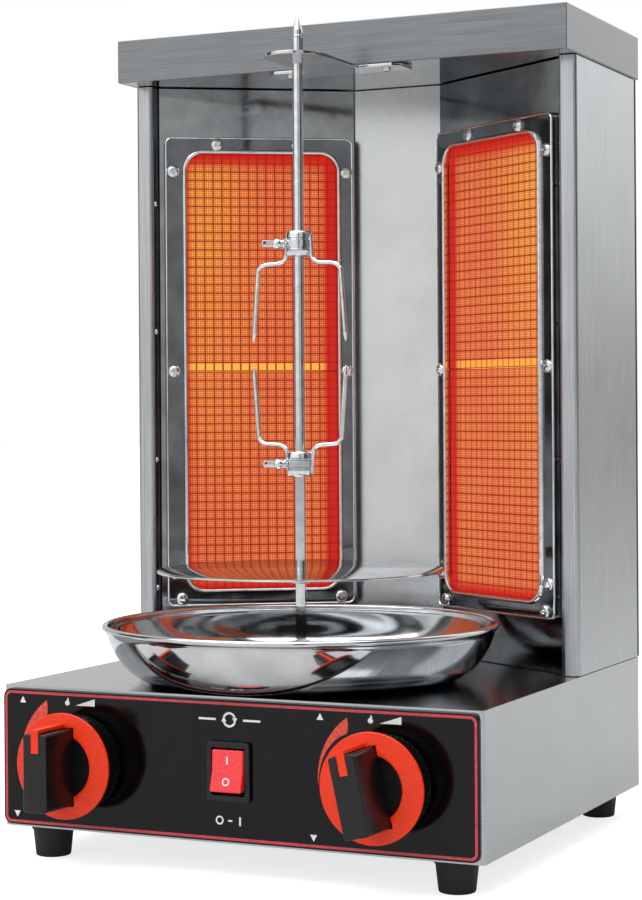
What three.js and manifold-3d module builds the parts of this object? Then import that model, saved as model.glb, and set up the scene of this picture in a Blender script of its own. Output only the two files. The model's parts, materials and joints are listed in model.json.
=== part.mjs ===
// Table-top vertical broiler: a skewer turns in front of two upright infrared gas burners.
// Millimetres, +Z up. The origin is on the table, under the middle of the whole outline.
import * as THREE from "three";
import { mergeVertices } from "three/addons/utils/BufferGeometryUtils.js";
import Module from "manifold-3d";

const wasm = await Module();
wasm.setup();

// ---------- driving dimensions ----------
const fitGap = 0.3; // clearance between neighbouring pieces
const sheet = 1.0; // tower sheet thickness
const bendRadius = 2.5; // outer radius of a folded edge

// base cabinet
const baseWidth = 280;
const baseDepth = 260;
const baseHeight = 76.5;
const baseWall = 1.2;
const baseCornerRadius = 2.5;
const footHeight = 17.5;
const footTopRadius = 12;
const footBottomRadius = 9.6;
const footInsetX = 21;
const footInsetY = 16;
const footScrewRadius = 2.2;
const footPocketRadius = 5;
const footPocketDepth = 8;
const floorSlotLength = 60;
const floorSlotWidth = 4;
const floorSlotPitch = 10;
const floorSlotRows = 6;

// control panel
const panelThickness = 2.5;
const panelInset = 1.4;
const panelCornerRadius = 4.5;
const knobSpacing = 178;
const knobRestTurn = THREE.MathUtils.degToRad(12.5); // the right knob stands a little off its stop

// knobs
const knobPushTravel = 3;
const knobStandOff = 0.8; // left between a pushed knob and the panel
const knobSkirtRadius = 25.5;
const knobSkirtDepth = 14.6;
const knobRingRadius = 28.1;
const knobRingDepth = 2.6;
const knobRingEdge = 1.6; // the ring's thickness at its rim
const knobRingInnerRadius = 17;
const knobRecessDepth = 2.4;
const knobBarWidth = 16;
const knobBarReach = 20.5;
const knobBarRise = 25.9;
const knobNotchDepth = 4; // how far the bar reaches in behind the front of the ring
const knobIndexWidth = 4.4;
const knobIndexLength = 10;
const knobIndexDepth = 1.6;
const knobIndexLip = 2.2; // how far the pointer stands out of the bar's end
const stemRadius = 4;
const stemInsideLength = 16;
const stemHoleRoom = 3; // round the stem, in the panel and the base
const knobStemEngagement = 14;
const seatWidth = 3; // the spring seat's ring width

// gas train
const valveBodyWidth = 22;
const valveBodyDepth = 44;
const valveSetback = 8;
const valveSeatDepth = 9; // how far back the spring seat's room goes
const manifoldRadius = 5;
const manifoldSetback = 42;
const manifoldBelowTop = 18.5;
const manifoldSideGap = 15;
const gasPipeRadius = 3;
const gasPipeLowest = 10;
const gasPipeRise = 11; // from the lowest run up to the injector
const injectorRadius = 4.6;
const mixingTubeRadius = 8;
const mixingTubeWall = 1;
const mixingTubeMouthRadius = 11;
const mixingTubeMouthZ = 30;
const tubeHoleRoom = 3; // round the mixing tube, in the base's top
const inletLength = 24;
const inletInside = 14; // how far the inlet and its pipe joint reach into the base
const inletBoreRadius = 3;
const inletTailRadius = 6;
const inletHexRadius = 9.8;
const hoseCrestRadius = 5.2;
const hoseRootRadius = 4.2;
const glandOffset = 95;
const glandZ = 30;
const glandBoreRadius = 4;
const glandTailRadius = 6;
const glandFlangeRadius = 9.5;
const glandCapRadius = 8;

// rocker switch
const switchWidth = 25;
const switchHeight = 31;
const switchBezelThickness = 2;
const switchBodyWidth = 21.6;
const switchBodyHeight = 27.6;
const switchBodyDepth = 22;
const rockerWidth = 18.4;
const rockerHeight = 22;
const rockerTilt = THREE.MathUtils.degToRad(9);

// tower
const towerHeight = 344.9;
const postWidth = 10.7;
const postReturn = 9.9;
const rearCavity = 37.4;
const rearFlange = 14;
const roofHeight = 25.3;
const roofOverhang = 19.2;
const ventSlotLength = 46;
const ventSlotHeight = 4;
const ventSlotPitch = 12;
const ventSlotCount = 8;

// burners
const burnerAngle = THREE.MathUtils.degToRad(33.6);
const tileWidth = 92;
const tileHeight = 132;
const tileThickness = 13;
const tileSeam = 0.4;
const tileLip = 0.3; // the frame covers this much of a tile's long edge
const tileProud = 2; // the tile stands this far in front of the burner panel
const tileClearance = 0.8;
const frameBorderOuter = 13.8;
const frameBorderInner = 10.8;
const frameBorderEnd = 11;
const frameFlangeHeight = 4;
const frameBeadHeight = 6;
const frameBeadWidth = 3;
const frameCornerRadius = 10;
const panelEdgeOuter = 2.7;
const panelEdgeInner = 1.2;
const burnerBoxDepth = 31;
const burnerBoxWall = 1.2;
const burnerBoxLedge = 4;

// drive
const spindleSetback = 84;
const spindleRadius = 5.6;
const spindleShaftRadius = 4;
const motorRadius = 25;
const motorHeight = 26;
const motorBottom = 22;
const motorBossRadius = 9;
const bushWall = 2.2;
const bushLength = 14;
const bushFlangeWidth = 4;
const bushFlangeThickness = 2;
const bushTopDrop = 0.2; // below the base's top
const bracketWidth = 36;
const strapThickness = 1.5;

// skewer and what it carries
const skewerRadius = 3;
const skewerTop = 444.7;
const skewerPointLength = 9;
const socketDepth = 18;
const discRadius = 79.5;
const discThickness = 1.4;
const discHeight = 136;
const collarRadius = 6.5;
const collarHeight = 6;
const hubRadius = 7.4;
const hubHeight = 14;
const upperHubCentre = 317.5;
const lowerHubCentre = 195.6;
const forkWireRadius = 1.35;
const forkShoulder = 25.3; // prong's distance from the skewer where it bends
const forkSplay = 2.6; // how much further out its point is
const prongLength = 43;
const screwReach = 21;
const screwShankRadius = 1.5;
const screwTurn = THREE.MathUtils.degToRad(32); // from straight sideways towards the front

// drip pan
const panRadius = 110;
const panFloorRadius = 80;
const panDepth = 32;
const panWall = 1;
const panRimRadius = 1.8;

// bracket that steadies the skewer's point
const tonguePlate = 2;
const tongueHalfWidth = 17;
const tongueReach = 21; // beyond the skewer
const stripHalfLength = 42;
const stripWidth = 19;

// ---------- places that follow from them ----------
const controlZ = baseHeight / 2;
const panelFrontY = -fitGap - panelThickness;
const towerBottom = baseHeight + fitGap;
const towerTop = towerBottom + towerHeight;
const burnerMidZ = towerBottom + towerHeight / 2;
const tileStack = 2 * tileHeight + tileSeam;
const openingWidth = tileWidth - 2 * tileLip;
const openingHeight = tileStack - 2 * tileLip;
const burnerPanelOuter = panelEdgeOuter + frameBorderOuter + openingWidth / 2;
const burnerPanelInner = panelEdgeInner + frameBorderInner + openingWidth / 2;
const burnerPanelLength = burnerPanelOuter + burnerPanelInner;
const panelRise = burnerPanelLength * Math.sin(burnerAngle);
const panelStartBack = postReturn - 1.8; // the burner panel starts just before the return ends
const towerDepth = panelStartBack + panelRise + rearCavity;
const towerFront = baseDepth - towerDepth;
const panelStartX = -(baseWidth / 2 - postWidth) + fitGap + sheet * Math.sin(burnerAngle);
const burnerX = panelStartX + burnerPanelOuter * Math.cos(burnerAngle);
const burnerY = towerFront + panelStartBack + burnerPanelOuter * Math.sin(burnerAngle);
const rearCoverY = baseDepth - fitGap - sheet; // its front face
const knobBackY = panelFrontY - knobPushTravel - knobStandOff;
const knobRingBackY = knobBackY - knobSkirtDepth - fitGap;
const knobFrontY = knobRingBackY - knobRingDepth - knobBarRise;
const rearMostY = baseDepth + inletLength;
const manifoldZ = baseHeight - manifoldBelowTop;
const manifoldX = baseWidth / 2 - baseWall - manifoldSideGap - manifoldRadius;
const valveTop = manifoldZ - manifoldRadius - fitGap;
const burnerBoxWidth = tileWidth + 2 * (tileClearance + burnerBoxWall);
const burnerBoxHeight = tileStack + 2 * (tileClearance + burnerBoxWall);
const burnerBoxFront = sheet + fitGap;
const mixingTubeBack = burnerBoxFront + burnerBoxDepth - burnerBoxWall - mixingTubeRadius - 1;
const mixingTubeX = -(burnerX - mixingTubeBack * Math.sin(burnerAngle)); // on the right side
const mixingTubeY = burnerY + mixingTubeBack * Math.cos(burnerAngle);
const spindleTop = towerBottom + panWall + 3.2;
const socketRadius = skewerRadius + 0.25;
const bushRadius = spindleRadius + fitGap + bushWall;
const boreAllowance = 0.35; // radial room round the skewer
const valveMouthY = baseWall + fitGap;
const rockerPivotY = panelFrontY - fitGap - switchBezelThickness + 2.4;

// ---------- helpers ----------
const finishes = {
  steel: { color: 0xc4c6c8, roughness: 0.28, metalness: 1 },
  mirror: { color: 0xd8dadc, roughness: 0.1, metalness: 1 },
  chrome: { color: 0xe2e4e6, roughness: 0.06, metalness: 1 },
  castAlloy: { color: 0x9a9c9e, roughness: 0.5, metalness: 1 },
  brass: { color: 0xc8a24a, roughness: 0.35, metalness: 1 },
  ceramic: { color: 0xe8541e, roughness: 0.8, metalness: 0, emissive: 0xd03a10 },
  blackPanel: { color: 0x0c0c0d, roughness: 0.15, metalness: 0 },
  blackPlastic: { color: 0x141415, roughness: 0.4, metalness: 0 },
  redPlastic: { color: 0xe23a24, roughness: 0.35, metalness: 0 },
  rubber: { color: 0x161616, roughness: 0.8, metalness: 0 },
};

function mesh(name, geometry, finish) {
  const made = new THREE.Mesh(geometry, new THREE.MeshStandardMaterial(finishes[finish]));
  made.name = name;
  return made;
}

// A closed mesh as a manifold-3d solid.
function solidOf(geometry) {
  const bare = geometry.clone();
  for (const name of Object.keys(bare.attributes)) {
    if (name !== "position") bare.deleteAttribute(name);
  }
  const merged = mergeVertices(bare, 1e-4);
  const data = {
    numProp: 3,
    vertProperties: merged.attributes.position.array,
    triVerts: new Uint32Array(merged.index.array),
  };
  return new wasm.Manifold(new wasm.Mesh(data));
}

function geometryOf(solid) {
  const data = solid.getMesh();
  const geometry = new THREE.BufferGeometry();
  geometry.setAttribute("position", new THREE.BufferAttribute(data.vertProperties, 3));
  geometry.setIndex(new THREE.BufferAttribute(data.triVerts, 1));
  geometry.computeVertexNormals();
  return geometry;
}

function join(...geometries) {
  const solids = geometries.map(solidOf);
  return geometryOf(solids.reduce((whole, next) => whole.add(next)));
}

function cut(geometry, ...tools) {
  const solids = tools.map(solidOf);
  return geometryOf(solids.reduce((whole, next) => whole.subtract(next), solidOf(geometry)));
}

// A box from its lowest to its highest corner.
function box(low, high) {
  const size = high.map((value, axis) => value - low[axis]);
  const middle = high.map((value, axis) => (value + low[axis]) / 2);
  return new THREE.BoxGeometry(...size).translate(...middle);
}

// Cylinders named for the axis they lie along.
function cylinderZ(radius, z0, z1, x = 0, y = 0, sides = 20) {
  const geometry = new THREE.CylinderGeometry(radius, radius, z1 - z0, sides);
  return geometry.rotateX(Math.PI / 2).translate(x, y, (z0 + z1) / 2);
}

function cylinderY(radius, y0, y1, x = 0, z = 0, sides = 20) {
  const geometry = new THREE.CylinderGeometry(radius, radius, y1 - y0, sides);
  return geometry.translate(x, (y0 + y1) / 2, z);
}

function cylinderX(radius, x0, x1, y = 0, z = 0, sides = 16) {
  const geometry = new THREE.CylinderGeometry(radius, radius, x1 - x0, sides);
  return geometry.rotateZ(Math.PI / 2).translate((x0 + x1) / 2, y, z);
}

// A closed profile of [radius, height] points, turned about Z.
function turned(profile, sides = 32) {
  const points = profile.map(([radius, height]) => new THREE.Vector2(radius, height));
  return new THREE.LatheGeometry(points, sides).rotateX(Math.PI / 2);
}

function roundedRect(width, height, radius) {
  const x = width / 2;
  const y = height / 2;
  const shape = new THREE.Shape();
  shape.moveTo(-x + radius, -y);
  shape.lineTo(x - radius, -y);
  shape.absarc(x - radius, -y + radius, radius, -Math.PI / 2, 0);
  shape.lineTo(x, y - radius);
  shape.absarc(x - radius, y - radius, radius, 0, Math.PI / 2);
  shape.lineTo(-x + radius, y);
  shape.absarc(-x + radius, y - radius, radius, Math.PI / 2, Math.PI);
  shape.lineTo(-x, -y + radius);
  shape.absarc(-x + radius, -y + radius, radius, Math.PI, 1.5 * Math.PI);
  return shape;
}

// A shape drawn in X and Y, standing from z0 to z1.
function uprightPrism(shape, z0, z1, curveSegments = 2) {
  const options = { depth: z1 - z0, bevelEnabled: false, curveSegments };
  return new THREE.ExtrudeGeometry(shape, options).translate(0, 0, z0);
}

// A shape drawn in X and Z, from y0 back to y1.
function facingPrism(shape, y0, y1, curveSegments = 2) {
  const options = { depth: y1 - y0, bevelEnabled: false, curveSegments };
  return new THREE.ExtrudeGeometry(shape, options).rotateX(Math.PI / 2).translate(0, y1, 0);
}

// A path with each corner rounded by an arc.
function roundCorners(corners, radius, arcSteps = 3) {
  const path = [];
  corners.forEach(([x, y], index) => {
    const here = new THREE.Vector2(x, y);
    if (index === 0 || index === corners.length - 1) {
      path.push(here);
      return;
    }
    const before = new THREE.Vector2(...corners[index - 1]).sub(here).normalize();
    const after = new THREE.Vector2(...corners[index + 1]).sub(here).normalize();
    const halfAngle = Math.acos(before.dot(after)) / 2;
    const bisector = before.clone().add(after).normalize();
    const centre = here.clone().addScaledVector(bisector, radius / Math.sin(halfAngle));
    const start = here.clone().addScaledVector(before, radius / Math.tan(halfAngle)).sub(centre);
    const turn = Math.PI - 2 * halfAngle;
    const way = Math.sign(after.cross(before)) || 1;
    for (let step = 0; step <= arcSteps; step += 1) {
      const spoke = start.clone().rotateAround(new THREE.Vector2(), (way * turn * step) / arcSteps);
      path.push(spoke.add(centre));
    }
  });
  return path;
}

// The outline of a sheet folded along a path, with the metal on the path's left.
function foldedOutline(corners, thickness, radius = bendRadius) {
  const face = roundCorners(corners, radius);
  const inside = face.map((point, index) => {
    const before = face[Math.max(index - 1, 0)];
    const after = face[Math.min(index + 1, face.length - 1)];
    const sides = [];
    if (before !== point) sides.push(point.clone().sub(before).normalize());
    if (after !== point) sides.push(after.clone().sub(point).normalize());
    const along = sides.reduce((sum, side) => sum.add(side), new THREE.Vector2()).normalize();
    const stretch = 1 / along.dot(sides[0]);
    return new THREE.Vector2(-along.y, along.x).multiplyScalar(thickness * stretch).add(point);
  });
  return new THREE.Shape([...face, ...inside.reverse()]);
}

// A round rod along a curve.
function rod(curve, radius, steps, sides) {
  const section = new THREE.Shape();
  section.absarc(0, 0, radius, 0, 2 * Math.PI);
  const options = { steps, extrudePath: curve, curveSegments: sides, bevelEnabled: false };
  return new THREE.ExtrudeGeometry(section, options);
}

// ---------- base cabinet ----------
function footPlaces() {
  const x = baseWidth / 2 - footInsetX;
  return [
    ["foot_front_left", -x, footInsetY],
    ["foot_front_right", x, footInsetY],
    ["foot_rear_left", -x, baseDepth - footInsetY],
    ["foot_rear_right", x, baseDepth - footInsetY],
  ];
}

function baseHousing() {
  const plan = roundedRect(baseWidth, baseDepth, baseCornerRadius);
  const hollow = roundedRect(
    baseWidth - 2 * baseWall,
    baseDepth - 2 * baseWall,
    Math.max(baseCornerRadius - baseWall, 0.4),
  );
  const middle = baseDepth / 2;
  const shell = cut(
    uprightPrism(plan, 0, baseHeight).translate(0, middle, 0),
    uprightPrism(hollow, -1, baseHeight - baseWall).translate(0, middle, 0),
  );
  const rear = baseDepth - baseWall - 1;
  const holes = [
    cylinderZ(bushRadius + fitGap, baseHeight - baseWall - 1, baseHeight + 1, 0, spindleSetback),
    cylinderY(inletTailRadius + fitGap, rear, baseDepth + 1, manifoldX, manifoldZ),
    cylinderY(glandTailRadius + fitGap, rear, baseDepth + 1, -glandOffset, glandZ),
    switchHole(-1, baseWall + 1),
  ];
  const tubeHole = mixingTubeRadius + tubeHoleRoom;
  for (const side of [-1, 1]) {
    const tubeX = side * mixingTubeX;
    const knobX = (side * knobSpacing) / 2;
    holes.push(cylinderZ(tubeHole, baseHeight - baseWall - 1, baseHeight + 1, tubeX, mixingTubeY));
    holes.push(cylinderY(stemRadius + stemHoleRoom, -1, baseWall + 1, knobX, controlZ));
  }
  return cut(shell, ...holes);
}

function switchHole(y0, y1) {
  const width = switchBodyWidth + 2 * fitGap;
  const height = switchBodyHeight + 2 * fitGap;
  return box([-width / 2, y0, controlZ - height / 2], [width / 2, y1, controlZ + height / 2]);
}

function bottomPlate() {
  const inset = baseWall + fitGap;
  const shape = roundedRect(baseWidth - 2 * inset, baseDepth - 2 * inset, 1.5);
  const plate = uprightPrism(shape, 0, baseWall).translate(0, baseDepth / 2, 0);
  const holes = footPlaces().map(([, x, y]) => cylinderZ(footScrewRadius, -1, 3, x, y, 12));
  const firstSlotY = 0.62 * baseDepth;
  for (const side of [-1, 1]) {
    for (let row = 0; row < floorSlotRows; row += 1) {
      const x = (side * baseWidth) / 4;
      const slot = roundedRect(floorSlotLength, floorSlotWidth, floorSlotWidth * 0.45);
      holes.push(uprightPrism(slot, -1, 3, 1).translate(x, firstSlotY + row * floorSlotPitch, 0));
    }
  }
  return cut(plate, ...holes);
}

function foot() {
  const top = -fitGap;
  const profile = [
    [footScrewRadius, top],
    [footScrewRadius, -footHeight + footPocketDepth],
    [footPocketRadius, -footHeight + footPocketDepth],
    [footPocketRadius, -footHeight],
    [footBottomRadius - 1, -footHeight],
    [footBottomRadius, -footHeight + 1],
    [footTopRadius, top - 1],
    [footTopRadius - 0.8, top],
    [footScrewRadius, top],
  ];
  return turned(profile, 16);
}

// ---------- control panel ----------
function controlPanel() {
  const width = baseWidth - 2 * panelInset;
  const height = baseHeight - 2 * panelInset;
  const shape = roundedRect(width, height, panelCornerRadius);
  const plate = facingPrism(shape, panelFrontY, -fitGap).translate(0, 0, controlZ);
  const holes = [-1, 1].map((side) =>
    cylinderY(stemRadius + stemHoleRoom, panelFrontY - 1, 1, (side * knobSpacing) / 2, controlZ),
  );
  return cut(plate, switchHole(panelFrontY - 1, 1), ...holes);
}

// Each knob is built about its own axis: X across, Y back, Z along the grip bar.
function knobBody() {
  const ringFront = knobRingBackY - knobRingDepth;
  const skirt = cylinderY(knobSkirtRadius, knobBackY - knobSkirtDepth, knobBackY, 0, 0, 32);
  const hubRadius = knobRingInnerRadius - fitGap;
  const hub = cylinderY(hubRadius, ringFront + knobRecessDepth, knobBackY - 1, 0, 0, 24);
  const barShape = roundedRect(knobBarWidth, 2 * knobBarReach, knobBarWidth * 0.3);
  const bar = facingPrism(barShape, knobFrontY, ringFront + knobNotchDepth);
  const seat = cylinderY(stemRadius + fitGap, knobBackY - knobStemEngagement, knobBackY + 1);
  return cut(join(skirt, hub, bar), seat, indexStrip(fitGap));
}

// The pointer's strip in the bar's front; with room round it, it is the pocket's tool.
function indexStrip(room = 0) {
  const half = knobIndexWidth / 2 + room;
  const over = room > 0 ? 1 : 0;
  const low = [-half, knobFrontY - over, knobBarReach - knobIndexLength - room];
  const high = [half, knobFrontY + knobIndexDepth + room, knobBarReach + knobIndexLip];
  return box(low, high);
}

// The pointer: the strip, and a leg that folds over the bar's end and stops at the ring.
function knobIndex() {
  const half = knobIndexWidth / 2;
  const legBack = knobRingBackY - knobRingDepth - fitGap;
  const low = [-half, knobFrontY, knobBarReach + fitGap];
  return join(indexStrip(), box(low, [half, legBack, knobBarReach + knobIndexLip]));
}

function knobRing() {
  const profile = [
    [knobRingInnerRadius, 0],
    [knobRingRadius, 0],
    [knobRingRadius, knobRingEdge],
    [knobRingInnerRadius + 1.5, knobRingDepth],
    [knobRingInnerRadius, knobRingDepth],
    [knobRingInnerRadius, 0],
  ];
  const front = knobRingBackY - knobRingDepth;
  const ring = turned(profile, 32).rotateX(Math.PI / 2).translate(0, knobRingBackY, 0);
  const half = knobBarWidth / 2 + fitGap;
  const reach = knobBarReach + fitGap;
  const notchBack = front + knobNotchDepth + fitGap;
  return cut(ring, box([-half, front - 1, -reach], [half, notchBack, reach]));
}

function valveStem() {
  const front = knobBackY - knobStemEngagement + fitGap;
  return cylinderY(stemRadius, front, stemInsideLength, 0, 0, 20);
}

// A washer that the return spring pushes forward; it slides in the valve's mouth.
function springSeat() {
  const front = valveMouthY + 0.7;
  const washer = cylinderY(stemRadius + seatWidth, front, front + 1.5);
  return cut(washer, cylinderY(stemRadius + fitGap, front - 1, front + 3));
}

// ---------- rocker switch ----------
function switchBody() {
  const front = panelFrontY - fitGap - switchBezelThickness;
  const bezelShape = roundedRect(switchWidth, switchHeight, 2);
  const bezel = facingPrism(bezelShape, front, front + switchBezelThickness);
  const x = switchBodyWidth / 2;
  const z = switchBodyHeight / 2;
  const block = box([-x, front + 1, -z], [x, switchBodyDepth, z]);
  const wellX = rockerWidth / 2 + 0.5;
  const wellZ = rockerHeight / 2 + 1.4;
  const well = box([-wellX, front - 1, -wellZ], [wellX, rockerPivotY + 9, wellZ]);
  const tabs = [-1, 0, 1].map((row) => {
    const low = [-2.4, switchBodyDepth - 1, row * 7.5 - 0.4];
    return box(low, [2.4, switchBodyDepth + 8, row * 7.5 + 0.4]);
  });
  return cut(join(bezel, block, ...tabs), well).translate(0, 0, controlZ);
}

// The rocker's side outline, about its pivot: a shallow V in front and a round back.
function rocker() {
  const half = rockerHeight / 2;
  const outline = [
    [-4.4, -half],
    [-2.6, -half + 0.1],
    [5, -half * 0.5],
    [6.6, 0],
    [5, half * 0.5],
    [-2.6, half - 0.1],
    [-4.4, half],
    [-3.2, 0],
  ];
  const shape = new THREE.Shape(outline.map(([y, z]) => new THREE.Vector2(y, z)));
  const options = { depth: rockerWidth, bevelEnabled: false };
  const upright = new THREE.ExtrudeGeometry(shape, options).translate(0, 0, -rockerWidth / 2);
  return upright.rotateZ(Math.PI / 2).rotateY(Math.PI / 2);
}

// ---------- gas train, drawn for the left burner ----------
function gasValve() {
  const half = valveBodyWidth / 2;
  const low = [-half, valveSetback, controlZ - 12];
  const block = box(low, [half, valveSetback + valveBodyDepth, valveTop]);
  const bossRadius = stemRadius + seatWidth + 2.5;
  const boss = cylinderY(bossRadius, valveMouthY, valveSetback + 1, 0, controlZ);
  const seatRoom = cylinderY(stemRadius + seatWidth + fitGap, 0, valveSeatDepth, 0, controlZ);
  const stemEnd = stemInsideLength + knobPushTravel + 2;
  const stemRoom = cylinderY(stemRadius + fitGap, 0, stemEnd, 0, controlZ, 20);
  return cut(join(block, boss), seatRoom, stemRoom);
}

function gasManifold() {
  const bend = 16;
  const at = (x, y) => new THREE.Vector3(x, y, manifoldZ);
  const bendStart = at(manifoldX - bend, manifoldSetback);
  const bendEnd = at(manifoldX, manifoldSetback + bend);
  const curve = new THREE.CurvePath();
  const farEnd = at(-knobSpacing / 2 - 14, manifoldSetback);
  const inletEnd = at(manifoldX, baseDepth - inletInside - fitGap);
  curve.add(new THREE.LineCurve3(farEnd, bendStart));
  curve.add(new THREE.QuadraticBezierCurve3(bendStart, at(manifoldX, manifoldSetback), bendEnd));
  curve.add(new THREE.LineCurve3(bendEnd, inletEnd));
  return rod(curve, manifoldRadius, 20, 4);
}

function gasPipe() {
  const back = valveSetback + valveBodyDepth + fitGap;
  const outletZ = controlZ - 7;
  const route = [
    [-knobSpacing / 2, back, outletZ],
    [-knobSpacing / 2, back + 20, outletZ - 1],
    [-(knobSpacing / 2 + mixingTubeX) / 2, (back + mixingTubeY) / 2, gasPipeLowest + 8],
    [-mixingTubeX, mixingTubeY - 16, gasPipeLowest],
    [-mixingTubeX, mixingTubeY - 5, gasPipeLowest + 1],
    [-mixingTubeX, mixingTubeY, gasPipeLowest + 6],
    [-mixingTubeX, mixingTubeY, gasPipeLowest + gasPipeRise],
  ];
  const curve = new THREE.CatmullRomCurve3(route.map((point) => new THREE.Vector3(...point)));
  return rod(curve, gasPipeRadius, 18, 3);
}

// A hexagonal brass jet that stands under the mixing tube's mouth.
function gasInjector() {
  const bottom = gasPipeLowest + gasPipeRise + fitGap;
  const hexTop = bottom + 7;
  const hex = cylinderZ(injectorRadius, bottom, hexTop, 0, 0, 6);
  const tip = cylinderZ(injectorRadius * 0.6, hexTop - 1, hexTop + 5, 0, 0, 16);
  return cut(join(hex, tip), cylinderZ(0.6, bottom - 1, hexTop + 6, 0, 0, 8));
}

function mixingTube() {
  const top = burnerMidZ - burnerBoxHeight / 2 + burnerBoxWall + 2;
  const bore = mixingTubeRadius - mixingTubeWall;
  const flare = 10;
  const mouth = mixingTubeMouthZ;
  const profile = [
    [bore, top],
    [bore, mouth + flare],
    [mixingTubeMouthRadius - mixingTubeWall, mouth],
    [mixingTubeMouthRadius, mouth],
    [mixingTubeRadius, mouth + flare],
    [mixingTubeRadius, top],
    [bore, top],
  ];
  return turned(profile, 20);
}

function inletNipple() {
  const shoulder = 9;
  const barbs = 3;
  const pitch = (inletLength - shoulder) / barbs;
  const profile = [
    [0, -inletInside],
    [inletTailRadius, -inletInside],
    [inletTailRadius, 1],
    [hoseRootRadius, 1],
  ];
  for (let barb = 0; barb < barbs; barb += 1) {
    profile.push([hoseRootRadius, shoulder + barb * pitch]);
    profile.push([hoseCrestRadius, shoulder + barb * pitch + 0.6]);
  }
  profile.push([hoseRootRadius, inletLength], [0, inletLength]);
  const stem = turned(profile, 16).rotateX(-Math.PI / 2);
  const hex = cylinderY(inletHexRadius, fitGap, shoulder - 1, 0, 0, 6);
  const bore = cylinderY(inletBoreRadius, -inletInside - 1, inletLength + 1, 0, 0, 12);
  return cut(join(stem, hex), bore);
}

// A moulded gland for the supply cord: a flange, a domed cap and a threaded tail.
function cableGland() {
  const glandTail = 12;
  const glandReach = 15;
  const profile = [
    [glandBoreRadius, -glandTail],
    [glandTailRadius, -glandTail],
    [glandTailRadius, fitGap],
    [glandFlangeRadius, fitGap],
    [glandFlangeRadius, 3],
    [glandCapRadius, 4],
    [glandCapRadius, 10],
    [glandCapRadius - 1.4, glandReach],
    [glandBoreRadius, glandReach],
    [glandBoreRadius, -glandTail],
  ];
  return turned(profile, 20).rotateX(-Math.PI / 2);
}

// ---------- tower ----------
// The left side: a rear flange, the side, the front post and its return.
function sidePanel() {
  const side = -baseWidth / 2;
  const rear = rearCoverY - fitGap;
  const corners = [
    [side + rearFlange, rear],
    [side, rear],
    [side, towerFront],
    [side + postWidth, towerFront],
    [side + postWidth, towerFront + postReturn],
  ];
  return uprightPrism(foldedOutline(corners, sheet), towerBottom, towerTop);
}

function rearCover() {
  const half = baseWidth / 2;
  const low = [-half, rearCoverY, towerBottom];
  const plate = box(low, [half, rearCoverY + sheet, towerTop]);
  const slots = [];
  for (const side of [-1, 1]) {
    for (let row = 0; row < ventSlotCount; row += 1) {
      const z = burnerMidZ + (row - (ventSlotCount - 1) / 2) * ventSlotPitch;
      const slot = roundedRect(ventSlotLength, ventSlotHeight, ventSlotHeight * 0.45);
      const x = (side * baseWidth) / 4;
      slots.push(facingPrism(slot, rearCoverY - 1, rearCoverY + sheet + 1, 1).translate(x, 0, z));
    }
  }
  return cut(plate, ...slots);
}

// The plain mirror between the burners; its flanges lie behind the burner panels.
function centreReflector() {
  const slope = Math.tan(burnerAngle);
  const faceY = burnerY + burnerPanelInner * Math.sin(burnerAngle) + 1.2;
  const behind = (sheet + fitGap) / Math.cos(burnerAngle);
  const cornerX = burnerX + (faceY - burnerY - behind) / slope;
  const flange = 7.5;
  const flangeX = cornerX - flange * Math.cos(burnerAngle);
  const flangeY = faceY - flange * Math.sin(burnerAngle);
  const corners = [
    [flangeX, flangeY],
    [cornerX, faceY],
    [-cornerX, faceY],
    [-flangeX, flangeY],
  ];
  return uprightPrism(foldedOutline(corners, sheet, 1.6), towerBottom, towerTop);
}

function roofCap() {
  const half = baseWidth / 2 + fitGap + sheet;
  const front = towerFront - roofOverhang;
  const rear = rearCoverY + sheet + fitGap + sheet;
  const low = [-half, front, towerTop + 0.2];
  const high = [half, rear, towerTop + 0.2 + roofHeight];
  const hollowLow = [low[0] + sheet, low[1] + sheet, low[2] - 1];
  return cut(box(low, high), box(hollowLow, [high[0] - sheet, high[1] - sheet, high[2] - sheet]));
}

// The ceiling over the cooking space, held inside the roof cap.
function ceilingPlate() {
  const half = baseWidth / 2;
  const front = towerFront - roofOverhang + sheet + fitGap;
  const bottom = towerTop + fitGap;
  return box([-half, front, bottom], [half, rearCoverY + sheet, bottom + sheet]);
}

function skewerBracket() {
  const back = towerFront;
  const stripFront = back - stripWidth;
  const tip = spindleSetback - tongueReach;
  const strip = 5;
  const shape = new THREE.Shape();
  shape.moveTo(-stripHalfLength, back);
  shape.lineTo(-stripHalfLength, stripFront + strip);
  shape.lineTo(-stripHalfLength + strip, stripFront);
  shape.lineTo(-tongueHalfWidth, stripFront);
  shape.lineTo(-tongueHalfWidth, tip + tongueHalfWidth);
  shape.absarc(0, tip + tongueHalfWidth, tongueHalfWidth, Math.PI, 2 * Math.PI);
  shape.lineTo(tongueHalfWidth, stripFront);
  shape.lineTo(stripHalfLength - strip, stripFront);
  shape.lineTo(stripHalfLength, stripFront + strip);
  shape.lineTo(stripHalfLength, back);
  const hole = new THREE.Path();
  hole.absarc(0, spindleSetback, skewerRadius + boreAllowance, 0, 2 * Math.PI);
  shape.holes.push(hole);
  const top = towerTop;
  return uprightPrism(shape, top - tonguePlate, top, 8);
}

// ---------- burner, about the middle of its panel's front face ----------
// X runs along the panel towards the middle of the oven, and Y points behind it.
function burnerPanel() {
  const low = [-burnerPanelOuter, 0, towerBottom];
  const plate = box(low, [burnerPanelInner, sheet, towerTop - fitGap]);
  const clear = 2 * tileClearance;
  const window = roundedRect(tileWidth + clear, tileStack + clear, 1);
  return cut(plate, facingPrism(window, -1, sheet + 1, 2).translate(0, 0, burnerMidZ));
}

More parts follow.
